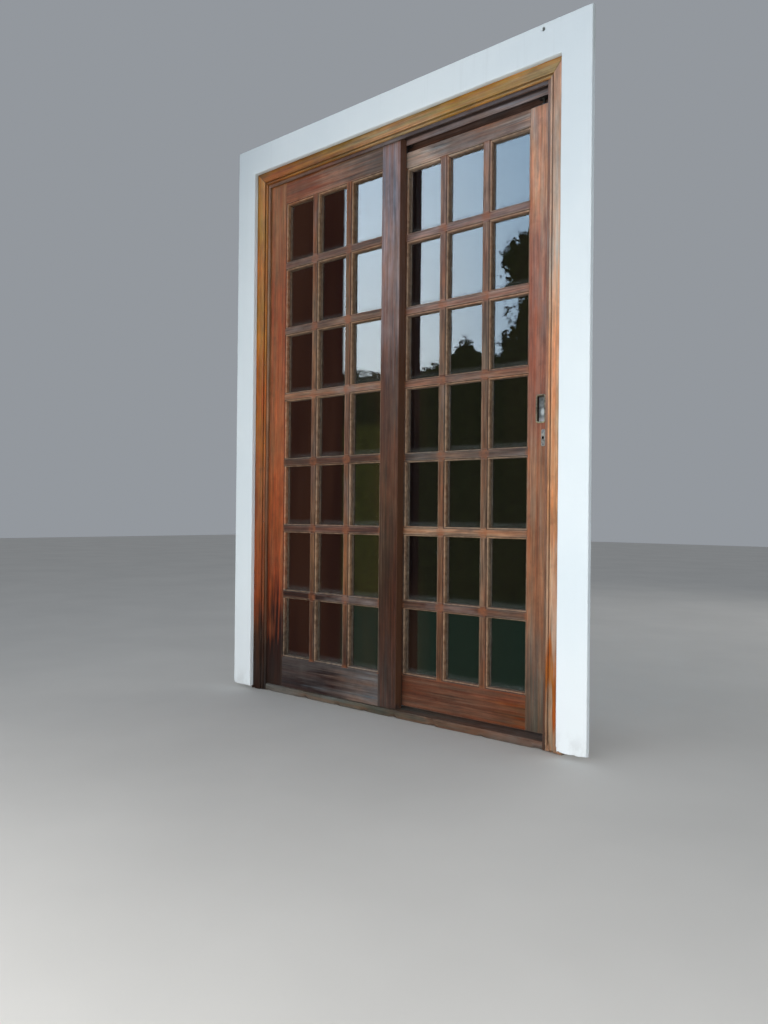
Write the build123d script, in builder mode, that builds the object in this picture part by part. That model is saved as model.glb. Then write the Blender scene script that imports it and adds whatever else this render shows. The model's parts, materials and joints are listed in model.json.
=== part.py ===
"""Two-leaf wooden sliding door with small glass panes, in its frame.

Millimetres, +Z up, +X to the right seen from outside, outside towards -Y. The origin is the middle of
the base: half the width, half the depth, and the underside of the jambs. The left leaf is fixed in the
front groove. The right leaf hangs from a steel track in the rear channel of the head and slides left.
Depths are counted from the front face of the white surround and placed by the function at_depth.
"""
import os
from math import cos, radians, sin

from build123d import *

os.makedirs("parts", exist_ok=True)

# Opening in the white surround, and the surround
opening_width = 1400.0
opening_height = 2140.0
surround_side = 103.0
surround_top = 113.0
surround_thickness = 20.0
surround_lift = 12.0
surround_lap = 12.0
surround_round = 4.0

# Wooden frame
jamb_thickness = 50.0
front_lip_thickness = 8.0
rear_lip_thickness = 14.0
lip_reach = 22.0
head_roof = 22.0
head_lip_drop = 62.0
rear_lip_drop = 100.0
divider_thickness = 6.0
divider_drop = 67.0
divider_seat = 8.0
sill_height = 27.0
sill_nose_round = 6.0
joint_play = 0.3

# Mitred moulding on the front of the frame
moulding_show = 50.0
moulding_thickness = 12.0
moulding_edge = 7.0
moulding_bead = 5.0
moulding_bead_rise = 3.0
moulding_quirk = 3.0
moulding_groove = 2.5
moulding_fall = 4.0
nail_radius = 2.2
nail_end_gap = 1.0
nail_pitch = 325.0
nail_first = 370.0
nail_count = 4
nail_inset = 45.0

# Both leaves
leaf_thickness = 35.0
outer_stile = 110.0
meeting_stile = 84.0
leaf_front_play = 1.0
leaf_rear_play = 2.0
pane_columns = 3
pane_rows = 7
leaf_overlap = 91.0
bar_face = 22.0
bottom_rail = 120.0
arris = 1.2

# Moulded edge round each pane, from the face of the leaf inwards
quirk = 2.5
ovolo = 7.0
sight_depth = 20.0
rebate = 8.0
glass_thickness = 4.0
glass_play = 1.0
bead_bevel = 3.5
mitre_gap = 0.2

# Tenons of the rails and bars
tenon_thickness = 11.0
rail_tenon_length = 45.0
rail_tenon_shoulder = 14.0
bar_tenon_length = 9.0
bar_tenon_height = 12.0
tenon_play = 0.2

# Fixed leaf and sliding leaf
fixed_top_cover = 12.0
sliding_top_rail = 56.0
closing_gap = 3.0
hang_gap = 8.0
sliding_top_gap = 23.0
open_gap = 15.0

# Hanging track, trolleys and wheels
track_width = 35.0
track_height = 32.0
track_wall = 3.0
track_slot = 14.0
track_end_gap = 2.0
wheel_radius = 10.0
wheel_width = 6.0
wheel_tread_gap = 0.3
axle_radius = 3.0
axle_play = 0.05
trolley_length = 40.0
trolley_plate = 6.0
trolley_foot_height = 12.0
trolley_foot_width = 24.0
trolley_foot_gap = 6.0
trolley_inset = 70.0
trolley_rise = 8.0
hanger_bolt_radius = 4.0
hanger_plate_length = 62.0
hanger_plate_width = 26.0
hanger_plate_thickness = 4.0
hanger_bolt_grip = 10.0
hanger_screw_inset = 8.0
nut_across = 13.0
nut_height = 6.5
buffer_length = 18.0
buffer_gap = 0.3

# Guide under the sliding leaf
guide_x = 5.0
guide_length = 44.0
guide_width = 30.0
guide_base = 2.5
guide_fin = 4.0
guide_top_play = 3.0
guide_groove_play = 1.0
guide_groove_depth = 13.0

# Lock, pulls and escutcheons, heights from the base
keyhole_height = 979.0
keyhole_backset = 54.0
keyhole_radius = 4.5
lock_case_height = 78.0
lock_case_depth = 72.0
lock_case_thickness = 14.0
faceplate_height = 120.0
faceplate_width = 22.0
faceplate_thickness = 3.0
lock_play = 0.3
beak_pivot_depth = 9.0
beak_outer = 24.0
beak_inner = 14.0
beak_thickness = 5.0
beak_hub = 7.0
beak_rest_tail = -160.0
beak_rest_tip = -85.0
beak_arm = 25.0
beak_swing_play = 1.0
beak_pin_radius = 3.0
beak_pin_play = 0.06
strike_height = 110.0
strike_width = 24.0
strike_thickness = 2.5
strike_pocket = 20.0
strike_side_play = 1.5
strike_end_play = 3.0
pocket_play = 1.0
plate_screw_inset = 8.0
pull_height = 93.0
pull_width = 35.0
pull_case_gap = 8.5
pull_backset = 64.0
pull_rim = 4.5
pull_rim_thickness = 1.6
pull_cup_depth = 12.0
pull_wall = 1.4
pull_corner = 9.0
escutcheon_height = 54.0
escutcheon_width = 14.0
escutcheon_thickness = 1.8
escutcheon_screw_pitch = 42.0
escutcheon_corner = 5.0
escutcheon_screw_gap = 1.3

# Wood screws, and the holes that fix the frame to a wall
small_screw_radius = 1.6
small_screw_head = 3.2
small_screw_length = 14.0
track_screw_pitch = 300.0
fixing_radius = 4.0
fixing_first = 300.0
fixing_top_inset = 240.0
fixing_count = 3


# Depths, counted from the front face of the surround
moulding_back = surround_thickness + moulding_thickness
front_groove = moulding_back + front_lip_thickness
fixed_front = front_groove + leaf_front_play
divider_front = fixed_front + leaf_thickness + leaf_front_play
divider_back = divider_front + divider_thickness
sliding_front = divider_back + leaf_rear_play
rear_lip = sliding_front + leaf_thickness + leaf_rear_play
frame_depth = rear_lip + rear_lip_thickness


def at_depth(depth):
    """Y of a depth behind the front face of the surround."""
    return depth - frame_depth / 2


def facing_plane(depth):
    """Plane that looks out of the door at a depth, with its own x and y along X and Z."""
    return Plane.XZ.offset(-at_depth(depth))


# Places worked out from the sizes
half_opening = opening_width / 2
groove_x = half_opening + surround_lap - jamb_thickness
lip_x = groove_x - lip_reach
frame_top = opening_height + surround_lap
head_roof_z = frame_top - head_roof
head_lip_z = opening_height - head_lip_drop
rear_lip_z = opening_height - rear_lip_drop
divider_z = opening_height - divider_drop

fixed_bottom = sill_height
fixed_top = head_lip_z + fixed_top_cover
sliding_bottom = sill_height + hang_gap
sliding_top = divider_z - sliding_top_gap
closing_edge = groove_x - closing_gap
leaf_width = (groove_x + closing_edge + leaf_overlap) / 2
sliding_x = closing_edge - leaf_width
travel = sliding_x + groove_x - open_gap
grid_width = leaf_width - outer_stile - meeting_stile
grid_bottom = sill_height + bottom_rail
grid_top = sliding_top - sliding_top_rail
column_pitch = (grid_width + bar_face) / pane_columns
row_pitch = (grid_top - grid_bottom + bar_face) / pane_rows

half_light = column_pitch / 2 - bar_face / 2
half_rise = row_pitch / 2 - bar_face / 2
bar_width = bar_face + 2 * ovolo
bead_width = rebate - glass_play / 2
bar_web = bar_face / 2 - (rebate - ovolo)
light_rebate = half_light - ovolo + rebate
rise_rebate = half_rise - ovolo + rebate
rail_lead = (leaf_thickness - tenon_thickness) / 2
bar_lead = sight_depth - tenon_thickness - 2 * arris

channel_depth = sliding_front + leaf_thickness / 2
channel_y = at_depth(channel_depth)
tread_z = head_roof_z - track_height + track_wall
axle_z = tread_z + wheel_tread_gap + wheel_radius
wheel_offset = (track_slot / 2 + track_width / 2 - track_wall) / 2
foot_top = head_roof_z - track_height - trolley_foot_gap
foot_bottom = foot_top - trolley_foot_height
trolley_places = (sliding_x + trolley_inset, closing_edge - trolley_inset)

keyhole_x = closing_edge - keyhole_backset
pull_x = closing_edge - pull_backset
pivot_x = closing_edge - beak_pivot_depth
case_front = closing_edge - faceplate_thickness
case_back = case_front - lock_case_depth
strike_back = groove_x + strike_thickness
strike_slot_width = beak_thickness + 2 * strike_side_play
strike_slot_height = 2 * (beak_outer + strike_end_play)
pull_centre_height = keyhole_height + lock_case_height / 2 + pull_case_gap + pull_height / 2
case_cover = (leaf_thickness - lock_case_thickness) / 2
escutcheon_screw_length = case_cover + escutcheon_thickness - escutcheon_screw_gap
nail_length = moulding_edge + front_lip_thickness - nail_end_gap
guide_fin_height = hang_gap + guide_groove_depth - guide_top_play
fixing_pitch = (opening_height - fixing_top_inset - fixing_first) / (fixing_count - 1)
cup_width = pull_width - 2 * pull_rim
cup_height = pull_height - 2 * pull_rim
cup_corner = pull_corner - pull_rim + pull_wall


def block(x_range, y_range, z_range, mode=Mode.ADD):
    """Box between two corners, added to the part that is being built."""
    spans = [sorted(span) for span in (x_range, y_range, z_range)]
    with Locations(tuple((low + high) / 2 for low, high in spans)):
        Box(*[high - low for low, high in spans], mode=mode)


def about(centre, half):
    """Range that reaches as far to each side of a centre."""
    return centre - half, centre + half


def screws(planes, length=small_screw_length, mode=Mode.ADD):
    """Countersunk screws, or the holes that they fill, driven from planes that look outwards."""
    down = (Align.CENTER, Align.CENTER, Align.MAX)
    with Locations(*planes):
        Cone(small_screw_radius, small_screw_head, small_screw_head - small_screw_radius,
             align=down, mode=mode)
        Cylinder(small_screw_radius, length, align=down, mode=mode)


def finish(piece, name):
    """Names a finished piece and writes it."""
    piece.part.label = name
    export_step(piece.part, f"parts/{name}.step")


# Surround, jambs, head and sill
def build_surround():
    """Painted band round the opening, with its front edges rounded."""
    outer_x = half_opening + surround_side
    top = opening_height + surround_top
    with BuildPart() as surround:
        with BuildSketch(facing_plane(surround_thickness)):
            with BuildLine():
                Polyline((-outer_x, surround_lift), (-half_opening, surround_lift),
                         (-half_opening, opening_height), (half_opening, opening_height),
                         (half_opening, surround_lift), (outer_x, surround_lift),
                         (outer_x, top), (-outer_x, top), (-outer_x, surround_lift))
            make_face()
        extrude(amount=surround_thickness)
        fillet(surround.faces().sort_by(Axis.Y)[0].edges(), surround_round)
    return surround


def nail_planes():
    """Nails of the left moulding, seen from outside."""
    x = -half_opening + nail_inset
    heights = [nail_first + k * nail_pitch for k in range(nail_count)]
    return [Plane((x, at_depth(moulding_back) - moulding_edge, z), z_dir=(0, -1, 0)) for z in heights]


def drive_nails(mode=Mode.ADD):
    """Nails of the left moulding, or their holes."""
    with Locations(*nail_planes()):
        Cylinder(nail_radius, nail_length, align=(Align.CENTER, Align.CENTER, Align.MAX), mode=mode)


def build_jamb(side):
    """Jamb with its two lips and wall fixing holes, on the left for -1 and on the right for 1."""
    outer_x = groove_x + jamb_thickness
    outline = [(lip_x, moulding_back), (outer_x, moulding_back), (outer_x, frame_depth),
               (lip_x, frame_depth), (lip_x, rear_lip), (groove_x, rear_lip),
               (groove_x, front_groove), (lip_x, front_groove), (lip_x, moulding_back)]
    with BuildPart() as jamb:
        with BuildSketch():
            with BuildLine():
                Polyline(*[(side * x, at_depth(depth)) for x, depth in outline])
            make_face()
        extrude(amount=head_roof_z)
        holes = [Plane((side * groove_x, channel_y, fixing_first + k * fixing_pitch), z_dir=(-side, 0, 0))
                 for k in range(fixing_count)]
        with Locations(*holes):
            Hole(fixing_radius, jamb_thickness)
        if side < 0:
            drive_nails(Mode.SUBTRACT)
        else:
            plate_y = about(channel_y, strike_width / 2)
            plate_z = about(keyhole_height, strike_height / 2)
            pocket_y = about(channel_y, strike_slot_width / 2 + pocket_play)
            pocket_z = about(keyhole_height, strike_slot_height / 2 + pocket_play)
            block((groove_x, strike_back), plate_y, plate_z, Mode.SUBTRACT)
            block((strike_back, strike_back + strike_pocket), pocket_y, pocket_z, Mode.SUBTRACT)
            screws(strike_screw_planes(), mode=Mode.SUBTRACT)
    return jamb


def build_head():
    """Head with its front and rear lips between the jambs and its roof over them."""
    outline = [(moulding_back, head_lip_z), (moulding_back, frame_top), (frame_depth, frame_top),
               (frame_depth, rear_lip_z), (rear_lip, rear_lip_z), (rear_lip, head_roof_z),
               (front_groove, head_roof_z), (front_groove, head_lip_z), (moulding_back, head_lip_z)]
    depth_span = (at_depth(moulding_back), at_depth(frame_depth))
    with BuildPart() as head:
        with BuildSketch(Plane.YZ.offset(-lip_x)):
            with BuildLine():
                Polyline(*[(at_depth(depth), z) for depth, z in outline])
            make_face()
        extrude(amount=2 * lip_x)
        for side in (-1, 1):
            roof_x = (side * lip_x, side * (groove_x + jamb_thickness))
            block(roof_x, depth_span, (head_roof_z, frame_top))
        block((-groove_x, groove_x), (at_depth(divider_front), at_depth(divider_back)),
              (head_roof_z, head_roof_z + divider_seat), Mode.SUBTRACT)
        screws(track_screw_planes(), mode=Mode.SUBTRACT)
    return head


def build_divider():
    """Strip between the two leaves, let into a groove in the head."""
    with BuildPart() as divider:
        block((-groove_x, groove_x), (at_depth(divider_front), at_depth(divider_back)),
              (divider_z, head_roof_z + divider_seat))
        lower = divider.edges().filter_by(Axis.X).group_by(Axis.Z)[0]
        chamfer(lower, arris)
    return divider


def build_sill():
    """Sill between the jambs, with a rounded nose and a notch round each lip."""
    with BuildPart() as sill:
        with BuildSketch(Plane.YZ.offset(-groove_x)):
            with Locations((at_depth((moulding_back + frame_depth) / 2), sill_height / 2)):
                Rectangle(frame_depth - moulding_back, sill_height)
            nose = vertices().group_by(Axis.Y)[-1].sort_by(Axis.X)[0]
            fillet(nose, sill_nose_round)
        extrude(amount=2 * groove_x)
        for side in (-1, 1):
            notch_x = (side * (lip_x - joint_play), side * groove_x)
            for depths in ((moulding_back, front_groove + joint_play), (rear_lip - joint_play, frame_depth)):
                block(notch_x, [at_depth(depth) for depth in depths], (0, sill_height), Mode.SUBTRACT)
        screws(guide_screw_planes(sill_height), mode=Mode.SUBTRACT)
    return sill


# Moulding, drawn from its outer edge under the surround to its bead at the opening
def moulding_section(start):
    """Section with a gently rounded face, a quirk and a bead along the inner edge."""
    width = moulding_show + surround_lap
    bead_start = width - 2 * moulding_bead
    bead_foot = moulding_edge - moulding_bead_rise
    face_end = bead_start - moulding_quirk
    face_low = moulding_thickness - moulding_fall
    with BuildSketch(start) as section:
        with BuildLine():
            Polyline((0, 0), (0, moulding_thickness), (surround_lap, moulding_thickness))
            ThreePointArc((surround_lap, moulding_thickness),
                          ((surround_lap + face_end) / 2, moulding_thickness - moulding_fall / 4),
                          (face_end, face_low))
            Polyline((face_end, face_low), (face_end, moulding_groove),
                     (bead_start, moulding_groove), (bead_start, bead_foot))
            ThreePointArc((bead_start, bead_foot), (width - moulding_bead, moulding_edge),
                          (width, bead_foot))
            Polyline((width, bead_foot), (width, 0), (0, 0))
        make_face()
    return section.sketch


def build_moulding(side):
    """One run of the moulding: -1 for the left, 0 for the head and 1 for the right."""
    corner_x = half_opening + surround_lap
    back = at_depth(moulding_back)
    if side:
        start = Plane((side * corner_x, back, 0 if side > 0 else frame_top),
                      x_dir=(-side, 0, 0), z_dir=(0, 0, side))
        length = frame_top
    else:
        start = Plane((corner_x, back, frame_top), x_dir=(0, 0, -1), z_dir=(-1, 0, 0))
        length = 2 * corner_x
    with BuildPart() as moulding:
        extrude(moulding_section(start), amount=length)
        for corner in (-1, 1):
            mitre = Plane((corner * corner_x, back, frame_top), z_dir=(-corner, 0, 1))
            if side == 0:
                split(bisect_by=mitre, keep=Keep.TOP)
            elif side == corner:
                split(bisect_by=mitre, keep=Keep.BOTTOM)
        if side < 0:
            drive_nails(Mode.SUBTRACT)
    return moulding


# Pane opening as a cutter: two moulded prisms crossed, so that the moulding mitres in the corners
def pane_section(plane, half):
    """Section of a pane opening, drawn out from its centre line to the moulded edge on both sides."""
    moulded = quirk + ovolo
    sight = half - ovolo
    beyond = leaf_thickness + arris
    with BuildSketch(plane) as section:
        with BuildLine():
            Polyline((0, -arris), (half, -arris), (half, quirk))
            JernArc((half, quirk), (-1, 0), ovolo, -90)
            Polyline((sight, moulded), (sight, sight_depth), (sight + rebate, sight_depth),
                     (sight + rebate, beyond), (0, beyond), (0, -arris))
        make_face()
        mirror(about=Plane.YZ)
    return section.sketch


def build_pane_cutter():
    """One pane opening, centred on X and Z, with the face of the leaf at Y = 0."""
    tall = half_rise + rebate
    wide = half_light + rebate
    across = Plane((wide, 0, 0), x_dir=(0, 0, 1), z_dir=(-1, 0, 0))
    with BuildPart() as cutter:
        extrude(pane_section(Plane.XY.offset(-tall), half_light), amount=2 * tall)
        extrude(pane_section(across, half_rise), amount=2 * wide, mode=Mode.INTERSECT)
    return cutter.part


class Leaf:
    """Places of one leaf: its grid of panes, its stiles and its rails."""

    def __init__(self, name, left, outer_side, front, bottom, top):
        self.name = name
        self.outer_side = outer_side
        self.bottom = bottom
        self.top = top
        self.left = left
        self.right = left + leaf_width
        self.light_left = left + (outer_stile if outer_side < 0 else meeting_stile)
        self.light_right = self.light_left + grid_width
        self.slides = outer_side > 0
        self.face = at_depth(front)
        self.seat = at_depth(front + sight_depth)
        self.back = at_depth(front + leaf_thickness)
        self.columns = [self.light_left + half_light + k * column_pitch for k in range(pane_columns)]
        self.rows = [grid_bottom + half_rise + k * row_pitch for k in range(pane_rows)]
        self.posts = [x + column_pitch / 2 for x in self.columns[:-1]]
        self.bars = [z + row_pitch / 2 for z in self.rows[:-1]]

    def cut_panes(self, columns=None, rows=None):
        """Cuts the pane openings of all columns and rows, or of some."""
        with Locations(*[(x, self.face, z) for x in columns or self.columns for z in rows or self.rows]):
            add(pane_cutter, mode=Mode.SUBTRACT)

    def tenon(self, x_range, z_range, lead, play=0.0):
        """Tenon that starts at a lead behind the face, or with some play the mortise round it."""
        y_range = about(self.face + lead + tenon_thickness / 2, tenon_thickness / 2 + play)
        mode = Mode.SUBTRACT if play else Mode.ADD
        block(x_range, y_range, (min(z_range) - play, max(z_range) + play), mode)

    def post_tenon(self, x, z_range, play=0.0):
        """Stub tenon on the end of an upright bar, or with some play its mortise."""
        self.tenon((x - bar_tenon_height / 2 - play, x + bar_tenon_height / 2 + play), z_range,
                   bar_lead, play)


def tenon_heights(low, high):
    """Height of a rail's tenon, inside its shoulders."""
    return low + rail_tenon_shoulder, high - rail_tenon_shoulder


def build_stile(leaf, side):
    """Upright of a leaf with its mortises and its edge of the panes, on the side -1 or 1."""
    edge_x = leaf.left if side < 0 else leaf.right
    grid_x = leaf.light_left if side < 0 else leaf.light_right
    column = leaf.columns[0] if side < 0 else leaf.columns[-1]
    with BuildPart() as stile:
        with BuildSketch(Plane.XY.offset(leaf.bottom)):
            with Locations(((edge_x + grid_x) / 2, (leaf.face + leaf.back) / 2)):
                Rectangle(abs(edge_x - grid_x), leaf_thickness)
            chamfer(vertices().group_by(Axis.X)[0 if side < 0 else -1], arris)
        extrude(amount=leaf.top - leaf.bottom)
        for row, z in enumerate(leaf.rows):
            low = grid_bottom if row == 0 else z - half_rise + ovolo
            high = grid_top if row == pane_rows - 1 else z + half_rise - ovolo
            block((grid_x, grid_x - side * ovolo), (leaf.face, leaf.seat), (low, high))
        leaf.cut_panes(columns=[column])
        for z in leaf.bars:
            leaf.tenon((grid_x, grid_x + side * (bar_tenon_length + tenon_play)),
                       about(z, bar_tenon_height / 2), bar_lead, tenon_play)
        for low, high in ((leaf.bottom, grid_bottom), (grid_top, leaf.top)):
            leaf.tenon((grid_x, grid_x + side * (rail_tenon_length + tenon_play)),
                       tenon_heights(low, high), rail_lead, tenon_play)
        if leaf.slides:
            cut_running_gear()
            if side == leaf.outer_side:
                cut_lock()
    return stile


def build_rail(leaf, low, high):
    """Rail between the stiles, with a tenon on each end and its edge of the panes."""
    at_bottom = high == grid_bottom
    row = leaf.rows[0] if at_bottom else leaf.rows[-1]
    edge_z = high if at_bottom else low
    up = 1 if at_bottom else -1
    with BuildPart() as rail:
        block((leaf.light_left, leaf.light_right), (leaf.face, leaf.back), (low, high))
        for x in leaf.columns:
            block(about(x, half_light - ovolo), (leaf.face, leaf.seat), (edge_z, edge_z + up * ovolo))
        leaf.cut_panes(rows=[row])
        for x in leaf.posts:
            leaf.post_tenon(x, (edge_z, edge_z - up * (bar_tenon_length + tenon_play)), tenon_play)
        ends = (leaf.light_left - rail_tenon_length, leaf.light_right + rail_tenon_length)
        leaf.tenon(ends, tenon_heights(low, high), rail_lead)
        if leaf.slides:
            cut_running_gear()
    return rail


def build_post(leaf, x):
    """Upright bar, cut away in front where the cross bars pass over it."""
    with BuildPart() as post:
        block(about(x, bar_width / 2), (leaf.face, leaf.seat), (grid_bottom, grid_top))
        block(about(x, bar_web), (leaf.seat, leaf.back), (grid_bottom, grid_top))
        for z in leaf.bars:
            block(about(x, bar_width), (leaf.face, leaf.seat), about(z, bar_width / 2), Mode.SUBTRACT)
        leaf.cut_panes(columns=[column for column in leaf.columns if abs(column - x) < column_pitch])
        leaf.post_tenon(x, (grid_bottom - bar_tenon_length, grid_bottom))
        leaf.post_tenon(x, (grid_top, grid_top + bar_tenon_length))
    return post


def build_cross_bars(leaf):
    """Cross bars, whole in front and cut away behind where the upright bars pass."""
    x_span = (leaf.light_left, leaf.light_right)
    ends = (leaf.light_left - bar_tenon_length, leaf.light_right + bar_tenon_length)
    with BuildPart() as bars:
        for z in leaf.bars:
            block(x_span, (leaf.face, leaf.seat), about(z, bar_width / 2))
            block(x_span, (leaf.seat, leaf.back), about(z, bar_web))
            for x in leaf.posts:
                block(about(x, bar_web), (leaf.seat, leaf.back), about(z, bar_web), Mode.SUBTRACT)
        leaf.cut_panes()
        for z in leaf.bars:
            leaf.tenon(ends, about(z, bar_tenon_height / 2), bar_lead)
    return bars


def build_glass(leaf):
    """Panes of a leaf, each against its seat in the rebate."""
    with BuildPart() as glass:
        for x in leaf.columns:
            for z in leaf.rows:
                block(about(x, light_rebate - glass_play / 2), (leaf.seat, leaf.seat + glass_thickness),
                      about(z, rise_rebate - glass_play / 2))
    return glass


def build_pane_beads():
    """Four mitred glazing beads of one pane, their bevelled edges towards the glass."""
    front = sight_depth + glass_thickness
    with BuildPart() as beads:
        for x_dir, along, across in (((1, 0, 0), light_rebate, rise_rebate),
                                     ((0, 0, 1), rise_rebate, light_rebate)):
            z_dir = (0, -1, 0) if x_dir[0] else (0, 1, 0)
            for side in (-1, 1):
                outer = side * across
                inner = side * (across - bead_width)
                with BuildSketch(Plane((0, leaf_thickness, 0), x_dir=x_dir, z_dir=z_dir)):
                    with BuildLine():
                        Polyline((mitre_gap - along, outer), (along - mitre_gap, outer),
                                 (along - bead_width - mitre_gap, inner),
                                 (bead_width + mitre_gap - along, inner), (mitre_gap - along, outer))
                    make_face()
                extrude(amount=(leaf_thickness - front) * (1 if x_dir[0] else -1))
        back = beads.edges().group_by(Axis.Y)[-1]
        level = back.filter_by(Axis.X).filter_by(lambda e: abs(e.center().Z) < rise_rebate - arris)
        upright = back.filter_by(Axis.Z).filter_by(lambda e: abs(e.center().X) < light_rebate - arris)
        chamfer(level + upright, bead_bevel)
    return beads.part


def build_beads(leaf):
    """Glazing beads of a leaf."""
    with BuildPart() as beads:
        with Locations(*[(x, leaf.face, z) for x in leaf.columns for z in leaf.rows]):
            add(pane_beads)
    return beads


# Hanging track, its fixings and its buffers
def track_screw_planes():
    """Screws through the roof of the track, driven upwards."""
    steps = int((groove_x - track_end_gap) // track_screw_pitch)
    return [Plane((k * track_screw_pitch, channel_y, head_roof_z - track_wall), z_dir=(0, 0, -1))
            for k in range(-steps, steps + 1)]


def build_track():
    """Steel channel with a slot along its underside."""
    with BuildPart() as track:
        with BuildSketch(Plane.YZ.offset(track_end_gap - groove_x)):
            with Locations((channel_y, head_roof_z - track_height / 2)):
                Rectangle(track_width, track_height)
                Rectangle(track_width - 2 * track_wall, track_height - 2 * track_wall, mode=Mode.SUBTRACT)
            with Locations((channel_y, head_roof_z - track_height + track_wall / 2)):
                Rectangle(track_slot, track_wall, mode=Mode.SUBTRACT)
        extrude(amount=2 * (groove_x - track_end_gap))
        screws(track_screw_planes(), mode=Mode.SUBTRACT)
    return track


def build_buffers():
    """Rubber stops in the track, beyond the trolleys at both ends of the travel."""
    half_trolley = trolley_length / 2 + buffer_gap
    left = trolley_places[0] - travel - half_trolley
    right = trolley_places[-1] + half_trolley
    with BuildPart() as buffers:
        for near, far in ((left, left - buffer_length), (right, right + buffer_length)):
            block((near, far), about(channel_y, track_width / 2 - track_wall),
                  (tread_z, head_roof_z - track_wall))
        chamfer(buffers.edges().filter_by(Axis.X), arris)
    return buffers


# Trolleys and what hangs the leaf from them
def build_trolley(x):
    """Plate that runs through the slot of the track, on a foot bored for the hanger bolt."""
    with BuildPart() as trolley:
        block(about(x, trolley_length / 2), about(channel_y, trolley_plate / 2),
              (foot_top, axle_z + trolley_rise))
        corners = trolley.edges().filter_by(Axis.Y).group_by(Axis.Z)[-1]
        fillet(corners, trolley_rise)
        block(about(x, trolley_length / 2), about(channel_y, trolley_foot_width / 2),
              (foot_bottom, foot_top))
        with Locations(Plane((x, channel_y - trolley_plate / 2, axle_z), z_dir=(0, -1, 0))):
            Hole(axle_radius + axle_play, trolley_plate)
        with Locations(Plane((x, channel_y, foot_bottom), z_dir=(0, 0, -1))):
            Hole(hanger_bolt_radius, hanger_bolt_grip)
    return trolley


def build_axle(x):
    """Axle of a trolley, as long as its two wheels stand apart."""
    with BuildPart() as axle:
        with BuildSketch(Plane((x, channel_y - wheel_offset - wheel_width / 2, axle_z), z_dir=(0, 1, 0))):
            Circle(axle_radius)
        extrude(amount=2 * wheel_offset + wheel_width)
    return axle


def build_wheels(x):
    """Two wheels of a trolley, one on each lip of the track."""
    with BuildPart() as wheels:
        for side in (-1, 1):
            start = channel_y + side * wheel_offset - wheel_width / 2
            with BuildSketch(Plane((x, start, axle_z), z_dir=(0, 1, 0))):
                Circle(wheel_radius)
                Circle(axle_radius, mode=Mode.SUBTRACT)
            extrude(amount=wheel_width)
    return wheels


def hanger_screw_planes():
    """Screws that hold the hanger plates down on the top of the leaf."""
    reach = hanger_plate_length / 2 - hanger_screw_inset
    return [Plane((x + side * reach, channel_y, sliding_top + hanger_plate_thickness), z_dir=(0, 0, 1))
            for x in trolley_places for side in (-1, 1)]


def build_hanger_plates():
    """Plates on the top of the leaf, one under each trolley."""
    with BuildPart() as plates:
        for x in trolley_places:
            block(about(x, hanger_plate_length / 2), about(channel_y, hanger_plate_width / 2),
                  (sliding_top, sliding_top + hanger_plate_thickness))
        chamfer(plates.edges().filter_by(Axis.Z), arris)
        with Locations(*[(x, channel_y, sliding_top + hanger_plate_thickness) for x in trolley_places]):
            Hole(hanger_bolt_radius, hanger_plate_thickness)
        screws(hanger_screw_planes(), mode=Mode.SUBTRACT)
    return plates


def build_hanger_bolts():
    """Threaded rods from the hanger plates up into the trolleys."""
    with BuildPart() as bolts:
        with BuildSketch(Plane.XY.offset(sliding_top)):
            with Locations(*[(x, channel_y) for x in trolley_places]):
                Circle(hanger_bolt_radius)
        extrude(amount=foot_bottom + hanger_bolt_grip - sliding_top)
    return bolts


def build_hanger_nuts():
    """Hexagon nuts, one on each hanger plate and one under each trolley."""
    with BuildPart() as nuts:
        for z in (sliding_top + hanger_plate_thickness, foot_bottom - nut_height):
            with BuildSketch(Plane.XY.offset(z)):
                with Locations(*[(x, channel_y) for x in trolley_places]):
                    RegularPolygon(nut_across / 2, 6, major_radius=False)
                    Circle(hanger_bolt_radius, mode=Mode.SUBTRACT)
            extrude(amount=nut_height)
    return nuts


# Guide on the sill, in a groove under the sliding leaf
def guide_screw_planes(z):
    """Two screws of the guide, on both sides of its fin."""
    return [Plane((guide_x + side * guide_length / 4, channel_y + side * guide_width / 3, z),
                  z_dir=(0, 0, 1)) for side in (-1, 1)]


def build_guide():
    """Guide with an upright fin that the grooved leaf slides over."""
    with BuildPart() as guide:
        block(about(guide_x, guide_length / 2), about(channel_y, guide_width / 2),
              (sill_height, sill_height + guide_base))
        block(about(guide_x, guide_length / 2), about(channel_y, guide_fin / 2),
              (sill_height, sill_height + guide_fin_height))
        ends = guide.edges().filter_by(Axis.Y).group_by(Axis.Z)[-1]
        fillet(ends, guide_fin)
        screws(guide_screw_planes(sill_height + guide_base), mode=Mode.SUBTRACT)
    return guide


def cut_running_gear():
    """Groove for the guide and holes for the hanger screws, in the pieces of the sliding leaf."""
    block((sliding_x, closing_edge), about(channel_y, guide_fin / 2 + guide_groove_play),
          (sliding_bottom, sliding_bottom + guide_groove_depth), Mode.SUBTRACT)
    screws(hanger_screw_planes(), mode=Mode.SUBTRACT)


# Hook lock in the closing stile
def lock_face_planes():
    """Outside and inside faces of the stile at the keyhole."""
    return [Plane((keyhole_x, sliding.face, keyhole_height), x_dir=(1, 0, 0), z_dir=(0, -1, 0)),
            Plane((keyhole_x, sliding.back, keyhole_height), x_dir=(-1, 0, 0), z_dir=(0, 1, 0))]


def pull_planes():
    """Outside and inside faces of the stile at the pulls."""
    return [Plane((pull_x, sliding.face, pull_centre_height), x_dir=(1, 0, 0), z_dir=(0, -1, 0)),
            Plane((pull_x, sliding.back, pull_centre_height), x_dir=(-1, 0, 0), z_dir=(0, 1, 0))]


def escutcheon_screw_planes():
    """Screws of both escutcheons."""
    return [face.offset(escutcheon_thickness) * Pos(0, side * escutcheon_screw_pitch / 2)
            for face in lock_face_planes() for side in (-1, 1)]


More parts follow.
